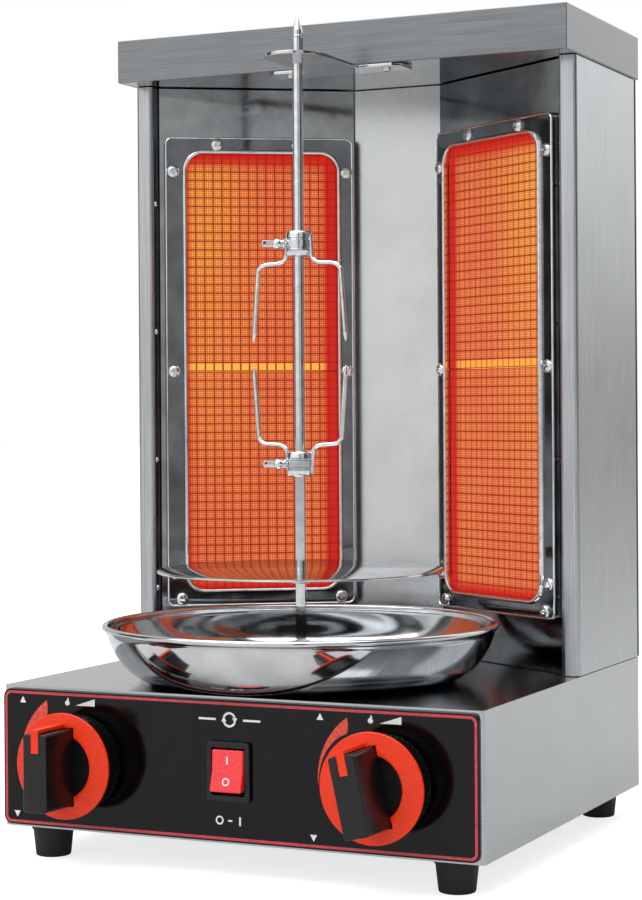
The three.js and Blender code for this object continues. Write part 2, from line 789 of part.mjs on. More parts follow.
function burnerFrame() {
  const shift = (frameBorderInner - frameBorderOuter) / 2;
  const width = openingWidth + frameBorderInner + frameBorderOuter;
  const height = openingHeight + 2 * frameBorderEnd;
  const flange = roundedRect(width, height, 4);
  const plate = facingPrism(flange, -frameFlangeHeight, -fitGap).translate(shift, 0, 0);
  const beadWidth = openingWidth + 2 * frameBeadWidth;
  const beadHeight = openingHeight + 2 * frameBeadWidth;
  const bead = roundedRect(beadWidth, beadHeight, frameCornerRadius + frameBeadWidth);
  const raised = facingPrism(bead, -frameBeadHeight, -frameFlangeHeight + 0.5);
  const mouth = roundedRect(openingWidth, openingHeight, frameCornerRadius);
  const opening = facingPrism(mouth, -frameBeadHeight - 1, 1);
  const clear = 2 * tileClearance;
  const pocketShape = roundedRect(tileWidth + clear, tileStack + clear, 1);
  const pocket = facingPrism(pocketShape, -tileProud - fitGap, 1, 2);
  return cut(join(plate, raised), opening, pocket).translate(0, 0, burnerMidZ);
}

function ceramicTile(level) {
  const slab = roundedRect(tileWidth, tileHeight, 1.2);
  const z = burnerMidZ + (level * (tileHeight + tileSeam)) / 2;
  return facingPrism(slab, -tileProud, tileThickness - tileProud, 1).translate(0, 0, z);
}

// The box that feeds gas and air to the back of the tiles, open in front.
function burnerBox() {
  const x = burnerBoxWidth / 2;
  const z = burnerBoxHeight / 2;
  const front = burnerBoxFront;
  const back = front + burnerBoxDepth;
  const ledgeY = tileThickness - tileProud + fitGap;
  const wall = burnerBoxWall;
  const shell = box([-x, front, -z], [x, back, z]);
  const tileRoom = box([-x + wall, front - 1, -z + wall], [x - wall, ledgeY, z - wall]);
  const rim = wall + burnerBoxLedge;
  const plenum = box([-x + rim, ledgeY - 1, -z + rim], [x - rim, ledgeY + 2.5, z - rim]);
  const chamber = box([-x + wall, ledgeY + 2, -z + wall], [x - wall, back - wall, z - wall]);
  const port = cylinderZ(mixingTubeRadius + fitGap, -z - 1, -z + wall + 1, 0, mixingTubeBack);
  return cut(shell, tileRoom, plenum, chamber, port).translate(0, 0, burnerMidZ);
}

// ---------- drive ----------
function gearMotor() {
  const top = motorBottom + motorHeight;
  const body = cylinderZ(motorRadius, motorBottom, top, 0, spindleSetback, 36);
  const boss = cylinderZ(motorBossRadius, top - 1, top + 4, 0, spindleSetback);
  const earX = motorRadius + 6;
  const low = [-earX, spindleSetback - 6, top - 2.5];
  const ears = box(low, [earX, spindleSetback + 6, top]);
  const boreBottom = motorBottom + 8;
  const bore = cylinderZ(spindleShaftRadius + fitGap, boreBottom, top + 5, 0, spindleSetback);
  return cut(join(body, boss, ears), bore);
}

// A hat-section strap that hangs the motor under the base's top.
function motorBracket() {
  const bottom = motorBottom + motorHeight + fitGap + strapThickness;
  const top = baseHeight - baseWall - fitGap;
  const legX = motorRadius + 13;
  const flangeX = legX + 16;
  const corners = [
    [flangeX, top],
    [legX, top],
    [legX, bottom],
    [-legX, bottom],
    [-legX, top],
    [-flangeX, top],
  ];
  const outline = foldedOutline(corners, strapThickness, 3);
  const low = spindleSetback - bracketWidth / 2;
  const strap = facingPrism(outline, low, low + bracketWidth);
  const hole = cylinderZ(motorBossRadius + fitGap, bottom - 4, bottom + 4, 0, spindleSetback);
  return cut(strap, hole);
}

function spindleBush() {
  const under = baseHeight - baseWall - fitGap;
  const bore = spindleRadius + fitGap;
  const top = baseHeight - bushTopDrop;
  const profile = [
    [bore, top - bushLength],
    [bushRadius, top - bushLength],
    [bushRadius, under - bushFlangeThickness],
    [bushRadius + bushFlangeWidth, under - bushFlangeThickness],
    [bushRadius + bushFlangeWidth, under],
    [bushRadius, under],
    [bushRadius, top],
    [bore, top],
    [bore, top - bushLength],
  ];
  return turned(profile, 20);
}

// The driven spindle; the skewer stands in the socket in its top.
function driveSpindle() {
  const bottom = motorBottom + 10;
  const shoulder = motorBottom + motorHeight + 8;
  const profile = [
    [0, bottom],
    [spindleShaftRadius, bottom],
    [spindleShaftRadius, shoulder],
    [spindleRadius, shoulder],
    [spindleRadius, spindleTop - 0.8],
    [spindleRadius - 0.8, spindleTop],
    [socketRadius, spindleTop],
    [socketRadius, spindleTop - socketDepth],
    [0, spindleTop - socketDepth],
  ];
  return turned(profile, 20);
}

// ---------- skewer and what it carries, about the skewer's axis ----------
function skewerRod() {
  const profile = [
    [0, spindleTop - socketDepth + fitGap],
    [skewerRadius, spindleTop - socketDepth + fitGap],
    [skewerRadius, skewerTop - skewerPointLength],
    [0, skewerTop],
  ];
  return turned(profile, 16);
}

function discCollar() {
  const top = discHeight - fitGap;
  const ring = cylinderZ(collarRadius, top - collarHeight, top);
  const bore = cylinderZ(skewerRadius + boreAllowance, top - collarHeight - 1, top + 1);
  return cut(ring, bore);
}

function meatDisc() {
  const top = discHeight + discThickness;
  const bore = skewerRadius + boreAllowance;
  const profile = [
    [bore, discHeight],
    [discRadius - 0.5, discHeight],
    [discRadius, discHeight + discThickness / 2],
    [discRadius - 0.5, top],
    [bore, top],
    [bore, discHeight],
  ];
  return turned(profile, 40);
}

// A fork about its hub's middle; up is 1 or -1, the way its prongs point.
function forkGeometry(up) {
  const hub = cylinderZ(hubRadius, -hubHeight / 2, hubHeight / 2);
  const wires = [-1, 1].map((side) => {
    const foot = hubRadius - 0.4;
    const route = [
      [foot, -hubHeight / 2 + 2],
      [foot + 0.8, hubHeight / 2 - 1],
      [foot + 2.2, hubHeight / 2 + 2],
      [foot + 6, hubHeight / 2 + 3.6],
      [forkShoulder - 4, hubHeight / 2 + 4.2],
      [forkShoulder - 0.6, hubHeight / 2 + 6.6],
      [forkShoulder + 0.2, hubHeight / 2 + 11],
      [forkShoulder + forkSplay, hubHeight / 2 + 4 + prongLength - 5],
    ];
    const points = route.map(([x, z]) => new THREE.Vector3(side * x, 0, up * z));
    const wire = rod(new THREE.CatmullRomCurve3(points), forkWireRadius, 16, 3);
    const end = points[points.length - 1];
    const point = new THREE.ConeGeometry(forkWireRadius * 0.97, 6, 8);
    point.rotateX((up * Math.PI) / 2).translate(end.x, 0, end.z + up * 2.6);
    return join(wire, point);
  });
  const bore = cylinderZ(skewerRadius + boreAllowance, -hubHeight, 2 * hubHeight);
  const thread = cylinderX(screwShankRadius + fitGap, -hubRadius - 3, 0).rotateZ(screwTurn);
  return cut(join(hub, ...wires), bore, thread);
}

// The locking screw: shank, ball and wing, drawn along -X and then turned.
function thumbScrew() {
  const shankEnd = -(skewerRadius + boreAllowance + 0.2);
  const shank = cylinderX(screwShankRadius, -hubRadius - 2.5, shankEnd, 0, 0, 12);
  const ball = new THREE.SphereGeometry(3.2, 10, 8).translate(-hubRadius - 4.6, 0, 0);
  const wing = roundedRect(screwReach - hubRadius - 4.6, 3.6, 1.7);
  const middle = -(screwReach + hubRadius + 4.6) / 2;
  const blade = facingPrism(wing, -0.9, 0.9).translate(middle, 0, 0);
  return join(shank, ball, blade).rotateZ(screwTurn);
}

// ---------- drip pan, about the skewer's axis ----------
function dripPan() {
  const bottom = towerBottom;
  const rimZ = bottom + panDepth;
  const hole = spindleRadius + 0.9;
  const wallRun = panRadius - panRimRadius - panFloorRadius;
  const outer = [];
  const inner = [];
  const steps = 6;
  const sweep = THREE.MathUtils.degToRad(72);
  for (let step = 0; step <= steps; step += 1) {
    const turn = (step / steps) * sweep;
    const across = Math.sin(turn) / Math.sin(sweep);
    const up = (1 - Math.cos(turn)) / (1 - Math.cos(sweep));
    outer.push([panFloorRadius + wallRun * across, bottom + (panDepth - panRimRadius) * up]);
  }
  for (const [index, [radius, height]] of outer.entries()) {
    const before = outer[Math.max(index - 1, 0)];
    const after = outer[Math.min(index + 1, steps)];
    const along = new THREE.Vector2(after[0] - before[0], after[1] - before[1]).normalize();
    inner.push([radius - along.y * panWall, height + along.x * panWall]);
  }
  const rim = [];
  const rimCentre = panRadius - panRimRadius;
  for (let step = 0; step <= 4; step += 1) {
    const turn = -Math.PI / 3 + (step / 4) * Math.PI * 1.33;
    rim.push([
      rimCentre + panRimRadius * Math.cos(turn),
      rimZ - panRimRadius + panRimRadius * Math.sin(turn),
    ]);
  }
  const profile = [[hole, bottom], ...outer.slice(0, -1), ...rim, ...inner.reverse()];
  profile.push([hole, bottom + panWall], [hole, bottom]);
  return turned(profile, 40);
}

// ---------- assembly ----------
const oven = new THREE.Group();
oven.position.set(0, -(knobFrontY + rearMostY) / 2, footHeight);

oven.add(mesh("base_housing", baseHousing(), "steel"));
oven.add(mesh("base_bottom_plate", bottomPlate(), "steel"));
for (const [name, x, y] of footPlaces()) {
  const piece = mesh(name, foot(), "rubber");
  piece.position.set(x, y, 0);
  oven.add(piece);
}
oven.add(mesh("control_panel", controlPanel(), "blackPanel"));
oven.add(mesh("rocker_switch_body", switchBody(), "blackPlastic"));
const rockerPiece = mesh("rocker", rocker(), "redPlastic");
rockerPiece.position.set(0, rockerPivotY, controlZ);
rockerPiece.rotation.x = -rockerTilt;
oven.add(rockerPiece);

const knobRests = { left: 0, right: knobRestTurn };
for (const [side, turn] of Object.entries(knobRests)) {
  const knob = new THREE.Group();
  knob.position.set(((side === "left" ? -1 : 1) * knobSpacing) / 2, 0, controlZ);
  knob.rotation.y = -turn;
  knob.add(mesh(`${side}_knob_body`, knobBody(), "blackPlastic"));
  knob.add(mesh(`${side}_knob_ring`, knobRing(), "redPlastic"));
  knob.add(mesh(`${side}_knob_index`, knobIndex(), "redPlastic"));
  knob.add(mesh(`${side}_valve_stem`, valveStem(), "brass"));
  knob.add(mesh(`${side}_valve_spring_seat`, springSeat(), "steel"));
  oven.add(knob);
}

oven.add(mesh("gas_manifold", gasManifold(), "castAlloy"));
const nipple = mesh("gas_inlet_nipple", inletNipple(), "brass");
nipple.position.set(manifoldX, baseDepth, manifoldZ);
oven.add(nipple);
const gland = mesh("cable_gland", cableGland(), "blackPlastic");
gland.position.set(-glandOffset, baseDepth, glandZ);
oven.add(gland);

oven.add(mesh("rear_cover", rearCover(), "steel"));
oven.add(mesh("centre_reflector", centreReflector(), "mirror"));
oven.add(mesh("roof_cap", roofCap(), "steel"));
oven.add(mesh("ceiling_plate", ceilingPlate(), "mirror"));
oven.add(mesh("skewer_top_bracket", skewerBracket(), "chrome"));

// The right half mirrors the left one.
for (const side of ["left", "right"]) {
  const half = new THREE.Group();
  half.scale.x = side === "left" ? 1 : -1;
  half.add(mesh(`${side}_side_panel`, sidePanel(), "steel"));
  const valve = mesh(`${side}_gas_valve`, gasValve(), "castAlloy");
  valve.position.x = -knobSpacing / 2;
  half.add(valve);
  half.add(mesh(`${side}_gas_pipe`, gasPipe(), "castAlloy"));
  const injector = mesh(`${side}_gas_injector`, gasInjector(), "brass");
  injector.position.set(-mixingTubeX, mixingTubeY, 0);
  half.add(injector);
  const tube = mesh(`${side}_mixing_tube`, mixingTube(), "castAlloy");
  tube.position.set(-mixingTubeX, mixingTubeY, 0);
  half.add(tube);

  const burner = new THREE.Group();
  burner.position.set(burnerX, burnerY, 0);
  burner.rotation.z = burnerAngle;
  burner.add(mesh(`${side}_burner_panel`, burnerPanel(), "mirror"));
  burner.add(mesh(`${side}_burner_frame`, burnerFrame(), "chrome"));
  burner.add(mesh(`${side}_upper_tile`, ceramicTile(1), "ceramic"));
  burner.add(mesh(`${side}_lower_tile`, ceramicTile(-1), "ceramic"));
  burner.add(mesh(`${side}_burner_box`, burnerBox(), "castAlloy"));
  half.add(burner);
  oven.add(half);
}

oven.add(mesh("gear_motor", gearMotor(), "castAlloy"));
oven.add(mesh("motor_bracket", motorBracket(), "steel"));

const spit = new THREE.Group();
spit.position.y = spindleSetback;
spit.add(mesh("spindle_bush", spindleBush(), "brass"));
spit.add(mesh("drive_spindle", driveSpindle(), "steel"));
spit.add(mesh("drip_pan", dripPan(), "mirror"));
spit.add(mesh("skewer_rod", skewerRod(), "chrome"));
spit.add(mesh("disc_collar", discCollar(), "chrome"));
spit.add(mesh("meat_disc", meatDisc(), "mirror"));
const forks = [
  ["upper", upperHubCentre, -1],
  ["lower", lowerHubCentre, 1],
];
for (const [level, z, up] of forks) {
  const holder = new THREE.Group();
  holder.position.z = z;
  holder.add(mesh(`${level}_fork`, forkGeometry(up), "chrome"));
  holder.add(mesh(`${level}_thumb_screw`, thumbScrew(), "chrome"));
  spit.add(holder);
}
oven.add(spit);

const part = new THREE.Group();
part.add(oven);
export default part;
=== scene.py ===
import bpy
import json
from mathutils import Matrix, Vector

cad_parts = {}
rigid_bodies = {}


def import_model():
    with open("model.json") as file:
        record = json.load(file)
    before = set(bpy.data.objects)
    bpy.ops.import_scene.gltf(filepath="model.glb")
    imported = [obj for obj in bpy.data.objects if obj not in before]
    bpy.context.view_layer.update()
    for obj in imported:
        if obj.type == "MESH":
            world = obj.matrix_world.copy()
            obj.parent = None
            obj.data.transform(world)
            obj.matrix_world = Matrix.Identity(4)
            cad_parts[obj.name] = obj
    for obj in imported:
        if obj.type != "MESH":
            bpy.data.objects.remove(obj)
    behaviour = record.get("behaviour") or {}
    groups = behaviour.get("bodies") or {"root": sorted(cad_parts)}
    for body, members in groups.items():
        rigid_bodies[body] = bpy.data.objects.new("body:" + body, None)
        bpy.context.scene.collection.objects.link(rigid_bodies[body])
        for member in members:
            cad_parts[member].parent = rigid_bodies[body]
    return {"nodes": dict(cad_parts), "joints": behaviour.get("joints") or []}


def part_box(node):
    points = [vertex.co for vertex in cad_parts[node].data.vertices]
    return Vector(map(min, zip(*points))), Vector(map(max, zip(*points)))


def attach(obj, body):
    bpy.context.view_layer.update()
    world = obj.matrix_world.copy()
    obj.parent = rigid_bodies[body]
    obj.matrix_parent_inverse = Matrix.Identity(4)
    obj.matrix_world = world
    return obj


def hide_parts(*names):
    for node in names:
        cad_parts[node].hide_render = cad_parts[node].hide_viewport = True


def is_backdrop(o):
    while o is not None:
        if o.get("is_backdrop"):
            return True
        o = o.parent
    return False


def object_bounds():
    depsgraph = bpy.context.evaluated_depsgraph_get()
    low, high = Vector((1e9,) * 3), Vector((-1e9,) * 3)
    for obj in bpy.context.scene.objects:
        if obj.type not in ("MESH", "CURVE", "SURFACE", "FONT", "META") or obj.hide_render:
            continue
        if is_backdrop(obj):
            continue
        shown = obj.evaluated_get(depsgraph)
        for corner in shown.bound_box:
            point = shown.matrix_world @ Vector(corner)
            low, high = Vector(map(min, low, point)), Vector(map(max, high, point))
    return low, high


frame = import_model()
cad_low, cad_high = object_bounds()
print("nodes:", len(frame["nodes"]), "box in mm:", [round(v * 1000, 1) for v in cad_high - cad_low])

# %% [markdown]
# ## Working by hand, in code
# Modelling by hand means: select something, enter edit mode, use a tool, leave again. These
# helpers do only the selecting. Operators act on everything selected, so each one starts by
# clearing the selection.
# %% Selecting and editing
import json
import math

import bmesh
import bpy
from mathutils import Matrix, Vector

MM = 0.001
FULL_TURN = 2 * math.pi
MERGE_WITHIN = 0.002 * MM


def only(*pieces):
    """Selects these pieces and nothing else; the last one is active."""
    if bpy.context.mode != "OBJECT":
        bpy.ops.object.mode_set(mode="OBJECT")
    bpy.ops.object.select_all(action="DESELECT")
    for piece in pieces:
        piece.select_set(True)
    bpy.context.view_layer.objects.active = pieces[-1]


def open_mesh(piece, kind="FACE"):
    """Enters edit mode on one piece, to work on its VERTs, EDGEs or FACEs."""
    only(piece)
    bpy.ops.object.mode_set(mode="EDIT")
    bpy.ops.mesh.select_mode(type=kind)
    bpy.ops.mesh.select_all(action="DESELECT")


def close_mesh():
    bpy.ops.object.mode_set(mode="OBJECT")


def merge_doubles():
    """In edit mode: makes one corner of corners that lie together."""
    bpy.ops.mesh.select_all(action="SELECT")
    bpy.ops.mesh.remove_doubles(threshold=MERGE_WITHIN)


def pick(kind, test):
    """Selects what passes a test of its middle and its normal, or an edge's direction."""
    mesh = bpy.context.object.data
    bpy.ops.mesh.select_mode(type=kind)
    bpy.ops.mesh.select_all(action="DESELECT")
    shape = bmesh.from_edit_mesh(mesh)
    if kind == "FACE":
        for face in shape.faces:
            face.select_set(bool(test(face.calc_center_median(), face.normal)))
    elif kind == "EDGE":
        for edge in shape.edges:
            start, end = (corner.co for corner in edge.verts)
            edge.select_set(bool(test((start + end) / 2, (end - start).normalized())))
    else:
        for corner in shape.verts:
            corner.select_set(bool(test(corner.co, corner.normal)))
    shape.select_flush_mode()
    bmesh.update_edit_mesh(mesh)


def modify(piece, kind, **settings):
    """Adds a modifier with these settings and applies it."""
    only(piece)
    step = piece.modifiers.new(kind.title(), kind)
    for key, value in settings.items():
        setattr(step, key, value)
    bpy.ops.object.modifier_apply(modifier=step.name)
    return piece


def combine(piece, tool, operation="DIFFERENCE"):
    """Cuts a piece with a tool, or joins the two; the tool is used up."""
    modify(piece, "BOOLEAN", operation=operation, object=tool, solver="EXACT")
    bpy.data.objects.remove(tool)


def settle(piece):
    """Puts the piece's place, turn and size into its mesh."""
    only(piece)
    bpy.ops.object.transform_apply(location=True, rotation=True, scale=True)
    return piece


# %% [markdown]
# ## Four ways to start a shape
# Sheet and box shapes start as a cube. Round ones are a profile spun on an axis, as on a
# lathe. Wires are a rod along a curve. Printed marks and flat frames are a filled outline.
# Each is a start, and its edges are shaped afterwards.
# %% Starting shapes
def block(low, high):
    """A cube stretched between two corners."""
    low, high = Vector(low), Vector(high)
    bpy.ops.object.select_all(action="DESELECT")
    bpy.ops.mesh.primitive_cube_add(size=1, location=(low + high) / 2)
    piece = bpy.context.object
    piece.scale = high - low
    return settle(piece)


def lathed(profile, steps=64, axis="Z"):
    """Spins a chain of [radius, height] points, in mm, about the Z axis (or the Y axis)."""
    points = [Vector((radius * MM, 0, height * MM)) for radius, height in profile]
    bpy.ops.object.select_all(action="DESELECT")
    bpy.ops.mesh.primitive_plane_add(size=MM)
    piece = bpy.context.object
    open_mesh(piece, "VERT")
    bpy.ops.mesh.select_all(action="SELECT")
    bpy.ops.mesh.merge(type="CENTER")
    bpy.ops.transform.translate(value=points[0])
    for start, end in zip(points, points[1:]):
        bpy.ops.mesh.extrude_region_move(TRANSFORM_OT_translate={"value": end - start})
    bpy.ops.mesh.select_all(action="SELECT")
    bpy.ops.mesh.spin(steps=steps, angle=FULL_TURN, center=(0, 0, 0), axis=(0, 0, 1))
    merge_doubles()
    bpy.ops.mesh.normals_make_consistent(inside=False)
    close_mesh()
    if axis == "Y":
        piece.rotation_euler.x = math.pi / 2
        settle(piece)
    return piece


def line_object(name, dimensions, lines, cyclic):
    """A curve object that holds straight-sided lines through points in metres."""
    curve = bpy.data.curves.new(name, "CURVE")
    curve.dimensions = dimensions
    for line in lines:
        spline = curve.splines.new("POLY")
        spline.points.add(len(line) - 1)
        for point, place in zip(spline.points, line):
            point.co = (*place, 1) if len(place) == 3 else (*place, 0, 1)
        spline.use_cyclic_u = cyclic
    made = bpy.data.objects.new(name, curve)
    bpy.context.scene.collection.objects.link(made)
    return made


def as_mesh(piece):
    only(piece)
    bpy.ops.object.convert(target="MESH")
    piece = bpy.context.object
    open_mesh(piece, "VERT")
    merge_doubles()
    bpy.ops.mesh.normals_make_consistent(inside=False)
    close_mesh()
    return piece


def cutout(outlines, thickness):
    """A flat sheet cut to closed outlines in X and Z, in mm; an outline inside is a hole."""
    lines = [[(x * MM, z * MM) for x, z in outline] for outline in outlines]
    made = line_object("cutout", "2D", lines, True)
    made.data.fill_mode = "BOTH"
    made.data.extrude = thickness * MM / 2
    made.rotation_euler.x = math.pi / 2
    return settle(as_mesh(made))


def rod(points, radius, sides=3):
    """A round wire through points in mm."""
    made = line_object("rod", "3D", [[tuple(v * MM for v in point) for point in points]], False)
    made.data.bevel_depth = radius * MM
    made.data.bevel_resolution = sides
    made.data.use_fill_caps = True
    return as_mesh(made)


# %% Outlines
def rounded(width, height, radius, centre=(0, 0), steps=8):
    """Points round a rectangle with round corners, in mm."""
    points = []
    for turn, across, up in ((0, 1, 1), (1, -1, 1), (2, -1, -1), (3, 1, -1)):
        corner_x = centre[0] + across * (width / 2 - radius)
        corner_z = centre[1] + up * (height / 2 - radius)
        for step in range(steps + 1):
            angle = (turn + step / steps) * math.pi / 2
            points.append((corner_x + radius * math.cos(angle),
                           corner_z + radius * math.sin(angle)))
    return points


def arc(radius, start, end, centre=(0, 0), steps=24):
    """Points along an arc, in mm; angles are in degrees from the right, upwards."""
    points = []
    for step in range(steps + 1):
        angle = math.radians(start + (end - start) * step / steps)
        points.append((centre[0] + radius * math.cos(angle), centre[1] + radius * math.sin(angle)))
    return points


def smooth_path(points, steps=6):
    """More points on a smooth curve through the given ones (Catmull-Rom)."""
    ends = [points[0], *points, points[-1]]
    path = []
    for a, b, c, d in zip(ends, ends[1:], ends[2:], ends[3:]):
        a, b, c, d = Vector(a), Vector(b), Vector(c), Vector(d)
        for step in range(steps):
            t = step / steps
            path.append(
                0.5 * (2 * b + (c - a) * t + (2 * a - 5 * b + 4 * c - d) * t**2
                       + (3 * b - a - 3 * c + d) * t**3)
            )
    return [*path, Vector(points[-1])]


# %% [markdown]
# ## Softened sheet metal
# A folded sheet has no knife edge. A copy of the CAD piece gets its loose triangles merged
# and a narrow bevel, which is what catches the light along a fold.
# %% Softening and finishing
def softened(node, width, segments=2, angle=40):
    """A copy of a CAD node with its sharp edges rounded, by a width in mm."""
    only(frame["nodes"][node])
    bpy.ops.object.duplicate(linked=False)
    piece = bpy.context.object
    bpy.ops.object.parent_clear(type="CLEAR_KEEP_TRANSFORM")
    for key in list(piece.keys()):
        del piece[key]
    open_mesh(piece, "VERT")
    merge_doubles()
    bpy.ops.mesh.dissolve_limited(angle_limit=math.radians(0.5))
    close_mesh()
    return modify(piece, "BEVEL", width=width * MM, segments=segments,
                  limit_method="ANGLE", angle_limit=math.radians(angle))


def weld(first, *others):
    """Joins pieces into the first one."""
    only(*others, first)
    bpy.ops.object.join()
    return first


def copy_of(piece, move=(0, 0, 0), turn=0.0):
    """A copy with its own mesh, turned about Z at the origin and then moved."""
    only(piece)
    bpy.ops.object.duplicate(linked=False)
    copy = bpy.context.object
    copy.matrix_world = Matrix.Translation(move) @ Matrix.Rotation(turn, 4, "Z")
    return settle(copy)


def finished(piece, name, body, slot, material, *nodes, smooth=32):
    """Names, paints and smooths a piece, puts it on a CAD body, and hides the nodes it stands for.
    """
    settle(piece)
    piece.name = piece.data.name = name
    piece.data.materials.clear()
    piece.data.materials.append(material)
    bpy.ops.object.shade_smooth_by_angle(angle=math.radians(smooth))
    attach(piece, body)
    if nodes:
        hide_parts(*nodes)
    size = [round(v / MM, 1) for v in piece.dimensions]
    print(f"{name}: {size} mm, {len(piece.data.polygons)} faces, on {body}")
    return piece


def flattened(piece):
    """Lets the large faces set the shading, so a flat sheet looks flat up to its bevels."""
    return modify(piece, "WEIGHTED_NORMAL", mode="FACE_AREA", keep_sharp=True)


# %% [markdown]
# ## Finishes
# Each finish starts from the real material: what it is, how its surface was made, and what
# that does to light. Patterns read Object coordinates, so they stay put on the piece, and
# their scale comes from a real size in millimetres.
# %% Adding nodes and colours
def paint(hex_colour):
    """An sRGB hex colour as linear light."""
    parts = [int(hex_colour[i:i + 2], 16) / 255 for i in (1, 3, 5)]
    return (*((c / 12.92 if c <= 0.04045 else ((c + 0.055) / 1.055) ** 2.4) for c in parts), 1)


def add_node(tree, kind, settings=None, inputs=None):
    """Adds a node with its settings. Inputs go by name or in order, and each is a link, a
    value or a hex colour."""
    made = tree.nodes.new(kind)
    for key, value in (settings or {}).items():
        setattr(made, key, value)
    if isinstance(inputs, tuple):
        inputs = dict(enumerate(inputs))
    for key, value in (inputs or {}).items():
        if isinstance(value, bpy.types.NodeSocket):
            tree.links.new(value, made.inputs[key])
        else:
            made.inputs[key].default_value = paint(value) if isinstance(value, str) else value
    return made


# kinds of node and settings that come up often
MATHS, RANGE, MIX, NOISE = ("ShaderNodeMath", "ShaderNodeMapRange", "ShaderNodeMix",
                            "ShaderNodeTexNoise")
TIMES, PLUS, MINUS = ({"operation": name} for name in ("MULTIPLY", "ADD", "SUBTRACT"))
TIMES_PLUS, ABOVE, BELOW = (
    {"operation": name} for name in ("MULTIPLY_ADD", "GREATER_THAN", "LESS_THAN"))
SOFT_STEP, COLOURS = {"interpolation_type": "SMOOTHSTEP"}, {"data_type": "RGBA"}


def new_finish(name, colour, metallic, roughness):
    """A material with its shader and the piece's own coordinates in millimetres."""
    material = bpy.data.materials.new(name)
    material.use_nodes = True
    tree = material.node_tree
    shader = tree.nodes["Principled BSDF"]
    shader.inputs["Base Color"].default_value = paint(colour)
    shader.inputs["Metallic"].default_value = metallic
    shader.inputs["Roughness"].default_value = roughness
    place = add_node(tree, "ShaderNodeTexCoord").outputs["Object"]
    in_mm = add_node(tree, "ShaderNodeMapping", inputs={"Vector": place, "Scale": (1000,) * 3})
    return material, tree, shader, in_mm.outputs["Vector"]


def surfaced(tree, shader, pattern, colours, rough, span=(0.3, 0.7), relief=None):
    """Lets a pattern move a finish's colour and gloss; relief is (pattern, strength, mm)."""
    ramp = add_node(tree, "ShaderNodeValToRGB", inputs={"Fac": pattern})
    for index in (0, 1):
        ramp.color_ramp.elements[index].position = span[index]
        ramp.color_ramp.elements[index].color = paint(colours[index])
    tree.links.new(ramp.outputs["Color"], shader.inputs["Base Color"])
    spread = add_node(tree, RANGE, inputs={
        "Value": pattern, "From Min": span[0], "From Max": span[1],
        "To Min": rough[0], "To Max": rough[1]})
    tree.links.new(spread.outputs["Result"], shader.inputs["Roughness"])
    if relief:
        bump = add_node(tree, "ShaderNodeBump", inputs={
            "Height": relief[0], "Strength": relief[1], "Distance": relief[2] * MM})
        tree.links.new(bump.outputs["Normal"], shader.inputs["Normal"])


# %% Stainless steel sheet, brushed
HANDLED_MM = 45  # size of the faint cloudy patches that hands and cloths leave


def brushed_stainless(name, grain_mm, dark="#9DA0A3", light="#C3C6C8", rough=(0.2, 0.3)):
    """Type 304 sheet with a belt-brushed grain. The strokes blur a reflection across the
    grain and leave it long along the grain, so the eye sees soft streaks."""
    material, tree, shader, place = new_finish(name, light, 1.0, rough[1])
    stretch = add_node(tree, "ShaderNodeMapping", inputs={
        "Vector": place, "Scale": tuple(1 / size for size in grain_mm)})
    grain = add_node(tree, NOISE, inputs={
        "Vector": stretch.outputs["Vector"], "Scale": 1.0, "Detail": 3.0,
        "Roughness": 0.6}).outputs["Fac"]
    handled = add_node(tree, NOISE, inputs={
        "Vector": place, "Scale": 1 / HANDLED_MM, "Detail": 2.0}).outputs["Fac"]
    both = add_node(tree, MATHS, TIMES_PLUS, (handled, 0.2, grain)).outputs["Value"]
    surfaced(tree, shader, both, (dark, light), rough, (0.35, 0.85), (grain, 0.05, 0.05))
    return material


# The real grain is about 0.05 mm wide; 0.5 mm is as fine as a render can show. A grain
# that is long only along X runs level on the front, back and top, and is even on the sides.
upright_steel = brushed_stainless("brushed stainless steel, upright grain", (0.5, 0.5, 60))
# the level-grain copy is painted darker than the upright one: painted shade that keeps the roof and
# the rear cover from reading too bright
shaded_level_steel = brushed_stainless("brushed stainless steel, level grain", (60, 0.5, 0.5),
                                "#6C6E71", "#8E9194")
top_steel = brushed_stainless("brushed stainless steel, grain across", (60, 0.5, 0.5),
                              rough=(0.12, 0.2))


# %% Polished stainless, chrome and zinc
def plated(name, dark, light, rough, patch_mm, bump=0.0):
    """A bright metal face with a slightly uneven polish; patch_mm is the size of its smears."""
    material, tree, shader, place = new_finish(name, light, 1.0, rough[0])
    smears = add_node(tree, NOISE, inputs={
        "Vector": place, "Scale": 1 / patch_mm, "Detail": 4.0, "Roughness": 0.6}).outputs["Fac"]
    surfaced(tree, shader, smears, (dark, light), rough, relief=bump and (smears, bump, 0.2))
    return material


# Polished sheet: a mirror that is a little wavy and hazy from polishing.
mirror_steel = plated("polished stainless steel", "#B9BCBE", "#D5D7D9", (0.06, 0.13), 25, 0.02)
# The reflector is the same sheet, left satin: it throws the heat back without an image.
satin_steel = plated("satin stainless steel", "#BFC1C3", "#D2D4D6", (0.24, 0.32), 60)
# The same sheet beside the burners, a touch rougher, with its colour painted darker: painted shade
# for the dark it reflects there.
shaded_mirror_steel = plated("polished stainless, painted darker as shade", "#888B8D", "#AAADAF", (0.07, 0.14),
                      25, 0.02)
# The pressed frame round the flames is the same chrome with its colour painted darker again:
# painted shade for the dark it reflects.
shaded_frame_chrome = plated("chrome, painted darker as shade", "#5E6163", "#818487", (0.05, 0.1), 25, 0.02)
# Bright chrome plate on wire and screws: cold, sharp reflections.
chrome = plated("bright chrome plate", "#C8CBCE", "#E4E6E8", (0.04, 0.09), 6)
# Zinc plate on pressed steel inside: grey-blue, with crystal patches a few mm across.
zinc = plated("zinc-plated steel", "#7E848A", "#A6ABB0", (0.32, 0.48), 4, 0.05)
# Sand-cast aluminium: dull and finely pitted.
cast_alloy = plated("sand-cast aluminium", "#6F7274", "#94989B", (0.5, 0.65), 0.9, 0.35)
# Machined brass, faintly oxidised.
brass = plated("machined brass", "#A8802F", "#D3AC55", (0.2, 0.38), 3)


